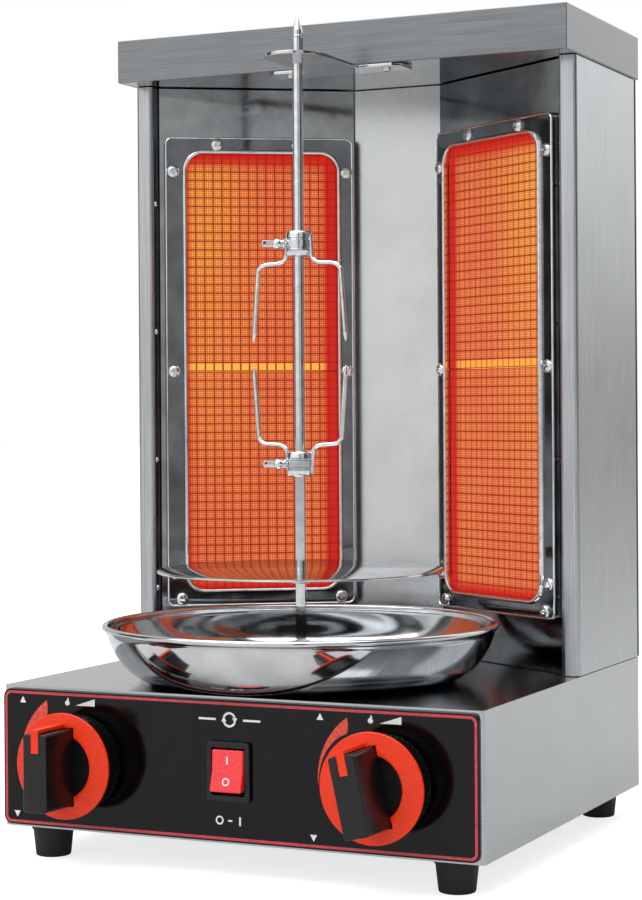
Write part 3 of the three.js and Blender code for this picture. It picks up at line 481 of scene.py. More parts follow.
# %% Moulded plastics and rubber
def moulded(name, dark, light, rough, grit_mm, depth=0.04, coat=0.0, gloss=0.5):
    """A moulded face; grit_mm is the texture of the mould, and depth its strength."""
    material, tree, shader, place = new_finish(name, light, 0.0, rough[0])
    grit = add_node(tree, NOISE, inputs={
        "Vector": place, "Scale": 1 / grit_mm, "Detail": 3.0}).outputs["Fac"]
    surfaced(tree, shader, grit, (dark, light), rough, relief=(grit, 0.4, depth))
    shader.inputs["Specular IOR Level"].default_value = gloss
    shader.inputs["Coat Weight"].default_value = coat
    shader.inputs["Coat Roughness"].default_value = 0.08
    return material


# Phenolic resin: hard, black and satin, with a sheen along its edges.
phenolic = moulded("black phenolic resin", "#060606", "#0D0D0E", (0.24, 0.34), 0.8, gloss=0.4)
# Acrylic-faced steel plate, printed from behind: deep black and glossy.
plate_black = moulded("black glazed plate", "#050404", "#0B0909", (0.1, 0.15), 12, 0.01, gloss=0.25)
# ABS dyed orange-red, slightly polished.
knob_red = moulded("orange-red ABS", "#E02A0A", "#F24014", (0.26, 0.36), 0.9, 0.02, gloss=0.3)
# Nitrile rubber: soft black, dusty and rough.
rubber = moulded("black nitrile rubber", "#0E0E0E", "#1C1C1D", (0.55, 0.75), 1.2, 0.06)
# Silk-screen inks.
print_red = moulded("silk-screened red ink", "#B0303A", "#D0434A", (0.35, 0.45), 2.0, 0.005)
print_flame = moulded("silk-screened orange ink", "#C8301C", "#EE5A40", (0.35, 0.45), 2.0, 0.005)
print_white = moulded("silk-screened white ink", "#D8D8D6", "#F2F2F0", (0.4, 0.5), 1.0, 0.005)

# The rocker is clear red polycarbonate with a lamp behind it.
rocker_red = moulded("lit red polycarbonate", "#D3101C", "#F22A34", (0.1, 0.18), 1.5, 0.01, 0.5)
lamp = rocker_red.node_tree.nodes["Principled BSDF"]
lamp.inputs["Emission Color"].default_value = paint("#FF2030")
lamp.inputs["Emission Strength"].default_value = 0.12


# %% [markdown]
# ## Glowing burner plaques
# An infrared burner is a cordierite plaque pierced by thousands of small holes. Gas burns
# at the mouths of the holes, so the raised pads glow orange to yellow, and the holes and
# grooves between are darker. The depth of a point below the front picks its colour. The
# edges run cooler, and one row of cells along the joint of two plaques burns brightest.
# %% Places measured from the CAD
def front_turn(node):
    """The angle about Z that faces a plain upright slab's front towards -Y, and back again."""
    largest = max(frame["nodes"][node].data.polygons, key=lambda face: face.area)
    normal = largest.normal if largest.normal.y < 0 else -largest.normal
    return math.atan2(normal.x, -normal.y)


def turned_box(node, turn):
    """Corners of a node, in mm, in axes that are turned about Z."""
    back = Matrix.Rotation(-turn, 3, "Z")
    points = [back @ corner.co / MM for corner in frame["nodes"][node].data.vertices]
    low = Vector(min(p[axis] for p in points) for axis in range(3))
    high = Vector(max(p[axis] for p in points) for axis in range(3))
    return low, high


def box_mm(node):
    """A node's low and high corners in mm."""
    low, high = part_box(node)
    return low / MM, high / MM


burner_turn = {side: front_turn(f"{side}_upper_tile") for side in ("left", "right")}
print("burners turned", {side: round(math.degrees(turn), 1) for side, turn in burner_turn.items()})

# %% Glowing cordierite
CELL = 5.28  # mm, one waffle cell: 25 rows in the height of a plaque
GROOVE_DEPTH, HOLE_DEPTH = 0.4, 0.9
GROOVE_HALF, PAD_SLOPE = 0.46, 0.1
HOLE_MARGIN, HOLE_SLOPE = 0.25, 0.05
# (cool margin, hot, hottest) for the pads, the grooves and the holes
LAYERS = (("#C82212", "#E88450", "#F8B04E"), ("#9C1208", "#8C260C", "#863C0A"),
          ("#AC160A", "#A02A0C", "#AA4C10"))
SEAM_GLOW = "#FCB64A"


def glowing_cordierite(side):
    """Cordierite ceramic at about 900 C: it gives light, and its face is dry and matt."""
    turn = burner_turn[side]
    upper_low, upper_high = turned_box(f"{side}_upper_tile", turn)
    lower_low, _ = turned_box(f"{side}_lower_tile", turn)
    outward = -1 if side == "left" else 1
    material, tree, shader, place = new_finish(f"glowing cordierite, {side}", "#6A1408", 0, 0.9)

    facing = add_node(tree, "ShaderNodeMapping", inputs={
        "Vector": place, "Rotation": (0, 0, -turn)}).outputs["Vector"]
    along, depth, height = add_node(
        tree, "ShaderNodeSeparateXYZ", inputs={"Vector": facing}).outputs
    middle, half = (upper_low.x + upper_high.x) / 2, (upper_high.x - upper_low.x) / 2
    across = add_node(tree, MATHS, MINUS, (along, middle)).outputs["Value"]
    outer = add_node(tree, MATHS, TIMES, (across, outward)).outputs["Value"]
    # cool margins: wide towards the oven's middle, narrow outside, above and below
    warm, climb = 1.0, 1.0
    for value, start, end in ((outer, -half + 5, -half + 11), (outer, half + 1, half - 5),
                              (height, upper_high.z - 2, upper_high.z - 13),
                              (height, lower_low.z + 1, lower_low.z + 9)):
        inwards = add_node(tree, RANGE, SOFT_STEP, {
            "Value": value, "From Min": start, "From Max": end}).outputs["Result"]
        warm = add_node(tree, MATHS, TIMES, (warm, inwards)).outputs["Value"]
    # yellower upwards and outwards, in patches
    for value, start, end in ((outer, -0.3 * half, 0.9 * half),
                              (height, lower_low.z, upper_high.z - 20)):
        rise = add_node(tree, RANGE, SOFT_STEP, {
            "Value": value, "From Min": start, "From Max": end}).outputs["Result"]
        climb = add_node(tree, MATHS, TIMES, (climb, rise)).outputs["Value"]
    patches = add_node(tree, NOISE, inputs={
        "Vector": facing, "Scale": 1 / 28, "Detail": 2.0}).outputs["Fac"]
    uneven = add_node(tree, MATHS, TIMES_PLUS, (patches, 0.5, -0.2)).outputs["Value"]
    yellow = add_node(tree, MATHS, TIMES_PLUS, (climb, 0.85, uneven)).outputs["Value"]
    yellow = add_node(tree, MATHS, {**TIMES, "use_clamp": True}, (yellow, warm)).outputs["Value"]

    layers = []
    for cool, hot, hottest in LAYERS:
        edged = add_node(tree, MIX, COLOURS, {0: warm, 6: cool, 7: hot}).outputs[2]
        layers.append(add_node(tree, MIX, COLOURS, {0: yellow, 6: edged, 7: hottest}).outputs[2])
    below = add_node(tree, MATHS, MINUS, (depth, upper_low.y)).outputs["Value"]
    colour = layers[0]
    for deeper, start, end in ((layers[1], 0.03, GROOVE_DEPTH * 0.7),
                               (layers[2], GROOVE_DEPTH * 1.1, GROOVE_DEPTH * 1.4)):
        share = add_node(tree, RANGE, SOFT_STEP, {
            "Value": below, "From Min": start, "From Max": end}).outputs["Result"]
        colour = add_node(tree, MIX, COLOURS, {0: share, 6: colour, 7: deeper}).outputs[2]
    # the brightest row, on its pads and in its holes but not in its grooves
    raised = add_node(tree, MATHS, BELOW, (below, GROOVE_DEPTH * 0.5)).outputs["Value"]
    deep = add_node(tree, MATHS, ABOVE, (below, GROOVE_DEPTH * 1.1)).outputs["Value"]
    bright = add_node(tree, MATHS, PLUS, (raised, deep)).outputs["Value"]
    over = add_node(tree, MATHS, ABOVE, (height, upper_low.z - 0.1)).outputs["Value"]
    under = add_node(tree, MATHS, BELOW, (height, upper_low.z + CELL)).outputs["Value"]
    for share in (over, under, warm):
        bright = add_node(tree, MATHS, TIMES, (bright, share)).outputs["Value"]
    colour = add_node(tree, MIX, COLOURS, {0: bright, 6: colour, 7: SEAM_GLOW}).outputs[2]
    tree.links.new(colour, shader.inputs["Emission Color"])
    shader.inputs["Emission Strength"].default_value = 1.0
    material.cycles.emission_sampling = "NONE"
    return material


plaque_glow = {side: glowing_cordierite(side) for side in ("left", "right")}

# %% [markdown]
# ## Plaques with real holes
# The front is a grid of cells. Each face is inset to leave a groove round it, and the pad
# that is left comes forward. Each pad is cut in nine, and each of the nine gets a hole by
# another inset and a push inwards. Only the mouth of each hole is modelled, and as
# a square, where a real plaque has round holes.
# %% Modelling one plaque
def plaque(side, level):
    node = f"{side}_{level}_tile"
    turn = burner_turn[side]
    low, high = turned_box(node, turn)
    columns, rows = round((high.x - low.x) / CELL), round((high.z - low.z) / CELL)
    bpy.ops.object.select_all(action="DESELECT")
    bpy.ops.mesh.primitive_grid_add(x_subdivisions=columns, y_subdivisions=rows, size=1,
                                    rotation=(math.pi / 2, 0, 0))
    piece = bpy.context.object
    piece.scale = ((high.x - low.x) * MM, (high.z - low.z) * MM, 1)
    piece.location = Vector(((low.x + high.x) / 2, low.y + GROOVE_DEPTH, (low.z + high.z) / 2)) * MM
    settle(piece)
    open_mesh(piece)
    bpy.ops.mesh.select_all(action="SELECT")
    bpy.ops.mesh.inset(thickness=GROOVE_HALF * MM, use_individual=True)
    bpy.ops.mesh.inset(thickness=PAD_SLOPE * MM, use_individual=True)
    bpy.ops.transform.translate(value=(0, -GROOVE_DEPTH * MM, 0))
    bpy.ops.mesh.subdivide(number_cuts=2)
    bpy.ops.mesh.inset(thickness=HOLE_MARGIN * MM, use_individual=True)
    bpy.ops.mesh.inset(thickness=HOLE_SLOPE * MM, depth=-HOLE_DEPTH * MM, use_individual=True)
    # the slab behind: the rim is drawn back and closed
    bpy.ops.mesh.select_mode(type="EDGE")
    bpy.ops.mesh.select_all(action="DESELECT")
    bpy.ops.mesh.select_non_manifold(extend=False, use_wire=False, use_multi_face=False,
                                     use_non_contiguous=False, use_verts=False)
    back = (high.y - low.y - GROOVE_DEPTH) * MM
    bpy.ops.mesh.extrude_region_move(TRANSFORM_OT_translate={"value": (0, back, 0)})
    bpy.ops.mesh.edge_face_add()
    bpy.ops.mesh.select_all(action="SELECT")
    bpy.ops.mesh.normals_make_consistent(inside=False)
    close_mesh()
    piece.rotation_euler.z = turn
    settle(piece)
    return finished(piece, f"{side}_{level}_plaque", "root", "burner_ceramic",
                    plaque_glow[side], node, smooth=20)


for side in ("left", "right"):
    for level in ("upper", "lower"):
        plaque(side, level)

# %% [markdown]
# ## Screws and rivets
# The frames are held by pan-head screws with a cross recess. One head is spun from its
# profile and the cross is cut out of it; the rest are copies, each turned a little
# differently, as screws always are.
# %% A pan head and a dome rivet
def pan_head(radius):
    """A screw head at the origin that faces -Y; radius in mm."""
    head = lathed([[0, 0], [radius, 0], [radius, 0.2 * radius], [0.93 * radius, 0.38 * radius],
                   [0.72 * radius, 0.54 * radius], [0.4 * radius, 0.62 * radius],
                   [0, 0.64 * radius]], 20, "Y")
    arm, slit = 0.56 * radius * MM, 0.15 * radius * MM
    level, upright = 0.35 * radius * MM, radius * MM
    for low_x, high_x, low_z, high_z in ((-arm, arm, -slit, slit), (-slit, slit, -arm, arm)):
        cutter = block((low_x, -upright, low_z), (high_x, -level, high_z))
        combine(head, cutter)
    return head


def dome_head(radius):
    return lathed([[0, 0], [radius, 0], [0.9 * radius, 0.3 * radius], [0.6 * radius, 0.56 * radius],
                   [0, 0.68 * radius]], 16, "Y")


def spread_heads(pattern, name, body, slot, material, places):
    """Copies a head to (place in mm, turn about Z, twist) places, as one piece."""
    heads = []
    for place, turn, twist in places:
        only(pattern)
        bpy.ops.object.duplicate(linked=False)
        head = bpy.context.object
        head.matrix_world = (Matrix.Translation(Vector(place) * MM) @ Matrix.Rotation(turn, 4, "Z")
                             @ Matrix.Rotation(twist, 4, "Y"))
        heads.append(settle(head))
    return finished(weld(*heads), name, body, slot, material, smooth=40)


frame_screw = pan_head(3.8)
small_screw = pan_head(2.6)
rivet = dome_head(1.9)

# %% [markdown]
# ## Burner frames
# Each frame is one pressed sheet: a flat flange with a rolled bead round the opening and a
# low turned-up rim round the outside. The flange is a cut-out with the opening left free.
# The bead and the rim are closed sections carried round an outline, so their corners stay
# true.
# %% Modelling a burner frame
OPENING_CORNER = 10.0
BEAD_WIDTH = 3.0
TILE_LIP = 0.3  # the frame covers this much of the plaques' edges
FLANGE_DROP = 2.0  # the flange lies this far behind the bead's front
FLANGE_CORNER, FLANGE_TRIM = 4.5, 0.6
RIM_WIDTH = 1.3
# a low half-round: outwards from the rim's line, forwards from the flange's front
RIM_SECTION = [[0.0, 0.2], [0.05, -0.4], [0.35, -0.8], [0.65, -0.9], [0.95, -0.8],
               [1.25, -0.4], [1.3, 0.2]]


def carried_round(outline, section):
    """Carries a closed section, [outward, forward] in mm, round a closed outline in X and Z."""
    path = line_object("path", "2D", [[(x * MM, z * MM) for x, z in outline]], True)
    shape = line_object("section", "2D", [[(x * MM, y * MM) for x, y in section]], True)
    path.data.bevel_mode = "OBJECT"
    path.data.bevel_object = shape
    made = as_mesh(path)
    bpy.data.objects.remove(shape)
    made.rotation_euler.x = math.pi / 2
    return settle(made)


def burner_frame(side):
    node = f"{side}_burner_frame"
    turn = burner_turn[side]
    low, high = turned_box(node, turn)
    tile_low, tile_high = turned_box(f"{side}_upper_tile", turn)
    base_low, _ = turned_box(f"{side}_lower_tile", turn)
    opening = (tile_high.x - tile_low.x - 2 * TILE_LIP, tile_high.z - base_low.z - 2 * TILE_LIP)
    centre = ((tile_low.x + tile_high.x) / 2, (tile_high.z + base_low.z) / 2)
    flange_front = low.y + FLANGE_DROP
    flange_centre = ((low.x + high.x) / 2, (low.z + high.z) / 2)
    wide, tall = high.x - low.x - FLANGE_TRIM, high.z - low.z - FLANGE_TRIM
    outer = rounded(wide, tall, FLANGE_CORNER, flange_centre)
    window = rounded(opening[0] + 2 * BEAD_WIDTH, opening[1] + 2 * BEAD_WIDTH,
                     OPENING_CORNER + BEAD_WIDTH, centre)
    thickness = high.y - flange_front
    flange = cutout([outer, window], thickness)
    modify(flange, "BEVEL", width=1.0 * MM, segments=3, limit_method="ANGLE",
           angle_limit=math.radians(60))
    flange.location.y = (flange_front + thickness / 2) * MM
    settle(flange)
    # the bead, outwards from the opening's edge; 0 is the flange's front
    front = -FLANGE_DROP + 0.05
    inside = tile_low.y - flange_front - 0.3
    section = [[0.1, inside], [0.35, -0.6], [0.7, front + 0.35], [1.2, front], [1.9, front],
               [2.5, front + 0.35], [2.9, -0.7], [3.3, 0.35], [3.3, 0.9], [1.0, 0.9], [0.8, inside]]
    mouth = rounded(*opening, OPENING_CORNER, centre)
    # a section's X runs along the outline's own normal; forward is -Y
    bead = carried_round(mouth, [[-across, -forward] for across, forward in section])
    bead.location.y = flange_front * MM
    settle(bead)
    # the flange's turned-up rim, inwards from its outer edge
    rim_line = rounded(wide - 2 * RIM_WIDTH, tall - 2 * RIM_WIDTH, FLANGE_CORNER - RIM_WIDTH,
                       flange_centre)
    rim = carried_round(rim_line, [[-across, -forward] for across, forward in RIM_SECTION])
    rim.location.y = flange_front * MM
    settle(rim)
    bead = weld(bead, rim)
    flange.rotation_euler.z = bead.rotation_euler.z = turn
    # the flange's chrome is painted darker: painted shade
    flattened(finished(flange, f"{side}_frame_flange", "root", "chrome_plate", shaded_frame_chrome, node))
    finished(bead, f"{side}_frame_bead", "root", "chrome_plate", chrome, node, smooth=35)
    outward = -1 if side == "left" else 1

    def spot(share, height):
        across = (centre[0] + outward * (opening[0] / 2 - share * opening[0]))
        return (*(Matrix.Rotation(turn, 3, "Z") @ Vector((across, flange_front, 0)))[:2], height)

    inner_x, outer_x = 1 + 6.3 / opening[0], -8.6 / opening[0]
    bottom, top = low.z, high.z
    rows = [top - 21.5, (top + bottom) / 2, bottom + 20.5]
    spots = [spot(share, z) for z in rows for share in (outer_x, inner_x)]
    spots += [spot(0.2, top - 5.2), spot(0.74, top - 5.2)]
    spots += [spot(-0.05, bottom + 5.0), spot(1.02, bottom + 5.0)]
    spread_heads(frame_screw, f"{side}_frame_screws", "root", "chrome_plate", chrome,
                 [(place, turn, 0.9 * index) for index, place in enumerate(spots)])


for side in ("left", "right"):
    burner_frame(side)

# %% [markdown]
# ## Tower sheets
# The side panels, the reflector, the roof and the rear cover are folded or cut from 1 mm
# sheet. Their shape is right in the CAD model, so they are softened copies.
# %% Softening the sheets
# the burner sheets and the ceiling wear polished steel painted darker as shade, and the roof and
# the rear cover wear brushed steel painted darker as shade
SHEETS = [
    ("left_side_panel", "left_side_sheet", 0.35, "cabinet_steel", upright_steel),
    ("right_side_panel", "right_side_sheet", 0.35, "cabinet_steel", upright_steel),
    ("left_burner_panel", "left_inner_sheet", 0.3, "mirror_steel", shaded_mirror_steel),
    ("right_burner_panel", "right_inner_sheet", 0.3, "mirror_steel", shaded_mirror_steel),
    ("centre_reflector", "centre_mirror_sheet", 0.35, "mirror_steel", satin_steel),
    ("ceiling_plate", "ceiling_sheet", 0.3, "mirror_steel", shaded_mirror_steel),
    ("roof_cap", "roof_sheet", 0.6, "cabinet_steel", shaded_level_steel),
    ("rear_cover", "rear_sheet", 0.3, "cabinet_steel", shaded_level_steel),
    ("base_housing", "base_cabinet", 0.5, "cabinet_steel", top_steel),
    ("skewer_top_bracket", "skewer_bracket_sheet", 0.4, "mirror_steel", mirror_steel),
]
for node, name, width, slot, material in SHEETS:
    flattened(finished(softened(node, width), name, "root", slot, material, node))

# %% Rivets and screws on the sheets
side_low, side_high = box_mm("left_side_panel")
POST_WIDTH, RIVET_SETBACK = 10.7, 5.0
rivet_rows = [side_low.z + share * (side_high.z - side_low.z)
              for share in (0.12, 0.345, 0.57, 0.795)]
for side, sign in (("left", -1), ("right", 1)):
    post_x = sign * (abs(side_low.x) - POST_WIDTH)
    places = [((post_x, side_low.y + RIVET_SETBACK, z), -sign * math.pi / 2, 0)
              for z in rivet_rows]
    spread_heads(rivet, f"{side}_post_rivets", "root", "cabinet_steel", mirror_steel, places)

rear_low, rear_high = box_mm("rear_cover")
rear_places = []
for x in (-1, 1):
    for share in (0.04, 0.35, 0.65, 0.96):
        z = rear_low.z + share * (rear_high.z - rear_low.z)
        rear_places.append(((x * (rear_high.x - 6), rear_high.y, z), math.pi, share * 5))
spread_heads(small_screw, "rear_cover_screws", "root", "zinc_steel", zinc, rear_places)

bracket_low, bracket_high = box_mm("skewer_top_bracket")
strip_y = bracket_high.y - 9.5
under = copy_of(small_screw)
under.rotation_euler.x = math.pi / 2
settle(under)
heads = [copy_of(under, Vector((x, strip_y, bracket_low.z)) * MM, 0.4 * x) for x in (-30, 30)]
bpy.data.objects.remove(under)
finished(weld(*heads), "bracket_screws", "root", "chrome_plate", chrome, smooth=40)

# %% [markdown]
# ## Control plate and its print
# The plate is black and glossy with a red border line. Its marks are printed: a turning
# arrow for the drive, a ring and a bar for the switch, and a flame and a wedge for each
# gas knob. Prints are cut as very thin sheets, so they have true edges.
# %% The plate and its border
flattened(finished(softened("control_panel", 0.5, 3), "control_plate", "root", "panel_black",
                   plate_black, "control_panel"))
plate_low, plate_high = box_mm("control_panel")
plate_mid = (plate_low.z + plate_high.z) / 2
PRINT_THICKNESS, PRINT_SUNK = 0.12, 0.04
CRESCENT_RADIUS = 38.4


def printed(name, outlines, material):
    """Cut marks laid on the control plate's front."""
    marks = cutout(outlines, PRINT_THICKNESS)
    marks.location.y = (plate_low.y - PRINT_THICKNESS / 2 + PRINT_SUNK) * MM
    return finished(marks, name, "root", "panel_black", material)


width, height = plate_high.x - plate_low.x, plate_high.z - plate_low.z
printed("printed_border", [
    rounded(width - 2.2, height - 2.2, 3.6, (0, plate_mid)),
    rounded(width - 5.0, height - 5.0, 2.6, (0, plate_mid))], print_red)

# %% The knobs' heat crescents
KNOBS = {}
for joint in frame["joints"]:
    if joint["name"].endswith("knob_turn"):
        KNOBS[joint["name"].split("_")[0]] = Vector(joint["pos_m"]) / MM


def crescent(centre):
    """A horn that starts as a point at the top and thins out down the knob's left."""
    inner, outer = [], []
    for step in range(41):
        share = step / 40
        angle = math.radians(125 + 60 * share)
        tip = min(1.0, share / 0.14) ** 0.8
        wide = tip * (6.5 * (1 - share) ** 3 + 2.4 * (1 - share) ** 0.7) + 0.1
        for radius, line in ((CRESCENT_RADIUS - wide, inner), (CRESCENT_RADIUS, outer)):
            line.append((centre.x + radius * math.cos(angle), centre.z + radius * math.sin(angle)))
    return [inner + outer[::-1]]


for side, centre in KNOBS.items():
    printed(f"{side}_heat_crescent", crescent(centre), print_flame)


# %% White marks
def bar(x0, z0, x1, z1):
    return [(x0, z0), (x1, z0), (x1, z1), (x0, z1)]


def band(radius, width, start, end, centre):
    """A curved stroke."""
    return (arc(radius + width / 2, start, end, centre)
            + arc(radius - width / 2, start, end, centre)[::-1])


def triangle(x, z, size, up=1):
    return [(x - size, z - up * size * 0.8), (x + size, z - up * size * 0.8), (x, z + up * size)]


def flame(x, z, size):
    """A flame: a drop with a leaning tip, as one smooth outline."""
    shape = [(0, -1), (0.55, -0.75), (0.7, -0.2), (0.4, 0.25), (0.45, 0.6), (0.1, 1.1),
             (0, 0.55), (-0.3, 0.3), (-0.65, -0.15), (-0.55, -0.75), (0, -1)]
    points = smooth_path([(px, pz, 0) for px, pz in shape], 4)[:-1]
    return [(x + size * p.x, z + size * p.y) for p in points]


switch_low, switch_high = box_mm("rocker_switch_body")
mark_z = (switch_high.z + plate_high.z) / 2 + 0.6
turning = [
    band(3.4, 1.1, 20, 160, (0, mark_z)), band(3.4, 1.1, 200, 340, (0, mark_z)),
    triangle(3.2, mark_z - 0.2, 1.5, -1), triangle(-3.2, mark_z + 0.2, 1.5, 1),
    bar(8, mark_z - 0.55, 18, mark_z + 0.55), bar(-18, mark_z - 0.55, -8, mark_z + 0.55)]
printed("printed_turning_arrows", turning, print_white)
low_z = (switch_low.z + plate_low.z) / 2 + 0.5
switching = [
    arc(2.3, 0, 345, (-6, low_z)), arc(1.5, 0, 345, (-6, low_z)),
    bar(5.4, low_z - 2.3, 6.4, low_z + 2.3), bar(-1.0, low_z - 0.4, 1.4, low_z + 0.4)]
printed("printed_switch_marks", switching, print_white)
for side, centre in KNOBS.items():
    top, bottom = plate_high.z - 5.4, plate_low.z + 6.0
    marks = [triangle(centre.x - 37, top - 0.4, 1.9)]
    marks += [flame(centre.x - 9, top - 0.2, 2.1)]
    marks += [[(centre.x - 4, top - 2), (centre.x + 8, top - 2), (centre.x + 8, top + 1.9)]]
    marks += [triangle(centre.x - 41, bottom, 1.9, -1)]
    printed(f"{side}_knob_marks", marks, print_white)

# %% [markdown]
# ## Gas knobs
# A knob is a black skirt with a finely ribbed rim, a flat orange-red ring that is wider than
# the skirt, and a tall grip bar. An orange-red pointer lies in the bar's front and folds over
# its end down to the ring. The left knob stands upright, so its CAD boxes give every size.
# %% Sizes of a knob
body_low, body_high = turned_box("left_knob_body", 0)
ring_low, ring_high = turned_box("left_knob_ring", 0)
index_low, index_high = turned_box("left_knob_index", 0)
SKIRT_RADIUS = (body_high.x - body_low.x) / 2
RING_RADIUS, RING_MOUTH = (ring_high.x - ring_low.x) / 2, 17.0
SKIRT_DEPTH = body_high.y - ring_high.y - 0.3
RING_BACK, RING_FRONT = body_high.y - ring_high.y, body_high.y - ring_low.y
BAR_FRONT = body_high.y - body_low.y
POINTER_HALF, POINTER_THICK, POINTER_LIP = (index_high.x - index_low.x) / 2, 1.6, 2.2
POINTER_LENGTH, POINTER_ROOM = 10, 0.2
POINTER_TOP = index_high.z - KNOBS["left"].z
BAR_REACH, BAR_HALF = POINTER_TOP - POINTER_LIP, 7.3
print("ring", round(RING_RADIUS, 1), "skirt", round(SKIRT_RADIUS, 1), "bar", round(BAR_REACH, 1))


# %% The black body: skirt, hub and grip bar
def knob_block(half, near, far, low, high):
    """A block about the knob's axis; near and far are distances from the knob's back."""
    return block((-half * MM, -far * MM, low * MM), (half * MM, -near * MM, high * MM))


RIBS = 144  # faces round the skirt; every third is a groove


def knob_body():
    radius = SKIRT_RADIUS
    skirt = lathed([[0, 0.4], [radius - 2, 0.4], [radius - 2, 0], [radius - 0.5, 0],
                    [radius, 0.6], [radius, SKIRT_DEPTH - 0.8], [radius - 0.6, SKIRT_DEPTH],
                    [0, SKIRT_DEPTH]], RIBS, "Y")
    open_mesh(skirt)

    def every_third(middle, normal):
        outward = math.hypot(middle.x, middle.z) / MM > radius - 0.3
        place = int((math.atan2(middle.z, middle.x) % FULL_TURN) / FULL_TURN * RIBS)
        return outward and abs(normal.y) < 0.2 and place % 3 == 0

    pick("FACE", every_third)
    bpy.ops.mesh.inset(thickness=0.12 * MM, depth=-0.35 * MM, use_individual=True)
    close_mesh()
    hub_radius, hub_front = RING_MOUTH - 0.4, RING_FRONT - 2.4
    hub = lathed([[0, SKIRT_DEPTH], [hub_radius, SKIRT_DEPTH], [hub_radius, hub_front - 0.6],
                  [hub_radius - 0.6, hub_front], [0, hub_front]], 64, "Y")
    grip = knob_block(BAR_HALF, SKIRT_DEPTH, BAR_FRONT, -BAR_REACH, BAR_REACH)
    open_mesh(grip)
    pick("FACE", lambda middle, normal: normal.y < -0.9)
    bpy.ops.transform.resize(value=(0.96, 1, 0.99))
    pick("EDGE", lambda middle, along: abs(along.y) > 0.9)
    bpy.ops.mesh.bevel(offset=1.8 * MM, segments=4)
    pick("FACE", lambda middle, normal: normal.y < -0.9)
    bpy.ops.mesh.bevel(offset=0.6 * MM, segments=3)
    close_mesh()
    slot = knob_block(POINTER_HALF + POINTER_ROOM,
                      BAR_FRONT - POINTER_THICK - POINTER_ROOM, BAR_FRONT + 1,
                      BAR_REACH - POINTER_LENGTH - POINTER_ROOM, BAR_REACH + 1)
    combine(grip, slot)
    return weld(skirt, hub, grip)


# %% The red ring
def knob_ring():
    radius, depth = RING_RADIUS, RING_FRONT - RING_BACK
    ring = lathed([[RING_MOUTH, 0], [radius - 0.4, 0], [radius, 0.4], [radius, depth - 1.3],
                   [radius - 0.35, depth - 0.95], [RING_MOUTH + 1.9, depth - 0.1],
                   [RING_MOUTH + 1.5, depth], [RING_MOUTH + 0.4, depth],
                   [RING_MOUTH, depth - 0.4], [RING_MOUTH, 0]], 96, "Y")
    ring.location.y = -RING_BACK * MM
    settle(ring)
    notch = knob_block(BAR_HALF + 0.3, RING_BACK - 1, RING_FRONT + 1,
                       -BAR_REACH - 0.3, BAR_REACH + 0.3)
    combine(ring, notch)
    return ring


# %% The pointer
def knob_pointer():
    """A strip in the bar's front, with a leg that folds over the bar's end to the ring."""
    pointer = knob_block(POINTER_HALF, BAR_FRONT - POINTER_THICK, BAR_FRONT,
                         BAR_REACH - POINTER_LENGTH, POINTER_TOP)
    leg = knob_block(POINTER_HALF, RING_FRONT + 0.3, BAR_FRONT - 0.1, BAR_REACH + 0.25, POINTER_TOP)
    combine(pointer, leg, "UNION")
    modify(pointer, "BEVEL", width=0.35 * MM, segments=2, limit_method="ANGLE")
    for test in (lambda middle, normal: normal.y < -0.99, lambda middle, normal: normal.z > 0.99):
        open_mesh(pointer)
        pick("FACE", test)
        bpy.ops.mesh.inset(thickness=1.1 * MM, depth=-0.3 * MM)
        close_mesh()
    return pointer


# %% Both knobs
for side, centre in KNOBS.items():
    low, high = turned_box(f"{side}_knob_index", 0)
    towards = (low + high) / 2 - centre
    for piece, name, slot_name, material, node in (
            (knob_body(), "grip", "knob_black", phenolic, "body"),
            (knob_ring(), "collar", "knob_red", knob_red, "ring"),
            (knob_pointer(), "pointer", "knob_red", knob_red, "index")):
        piece.rotation_euler.y = math.atan2(towards.x, towards.z)
        piece.location = Vector((centre.x, body_high.y, centre.z)) * MM
        finished(piece, f"{side}_{name}", f"{side}_knob", slot_name, material,
                 f"{side}_knob_{node}")

# %% [markdown]
# ## Rocker switch
# A black bezel holds a clear red rocker with a lamp behind it. The ring and the bar on its
# two faces are the usual off and on marks.
# %% The bezel, the rocker and its marks
finished(softened("rocker_switch_body", 0.5, 3), "switch_bezel", "root", "knob_black", phenolic,
         "rocker_switch_body")
tilting = softened("rocker", 0.9, 4)
faces = sorted((f for f in frame["nodes"]["rocker"].data.polygons if f.normal.y < -0.5),
               key=lambda face: -face.area)
upper = next(f for f in faces if f.center.z > plate_mid * MM)
lower = next(f for f in faces if f.center.z < plate_mid * MM)
finished(tilting, "lit_rocker", "switch_rocker", "knob_red", rocker_red, "rocker")


def rocker_mark(face, outlines, name):
    """A thin mark laid on one slanting face of the rocker."""
    corners = [frame["nodes"]["rocker"].data.vertices[index].co
               for other in faces if other.normal.dot(face.normal) > 0.999
               for index in other.vertices]
    heights = [corner.z for corner in corners]
    depths = [corner.y for corner in corners]
    mark = cutout(outlines, 0.3)
    mark.rotation_euler.x = math.atan2(-face.normal.z, -face.normal.y)
    middle = Vector((0, (min(depths) + max(depths)) / 2, (min(heights) + max(heights)) / 2))
    mark.location = middle + face.normal * 0.05 * MM
    finished(mark, name, "switch_rocker", "knob_red", print_white)


rocker_mark(upper, [bar(-0.5, -2.0, 0.5, 2.0)], "rocker_on_mark")
rocker_mark(lower, [arc(2.1, 0, 345), arc(1.4, 0, 345)], "rocker_off_mark")

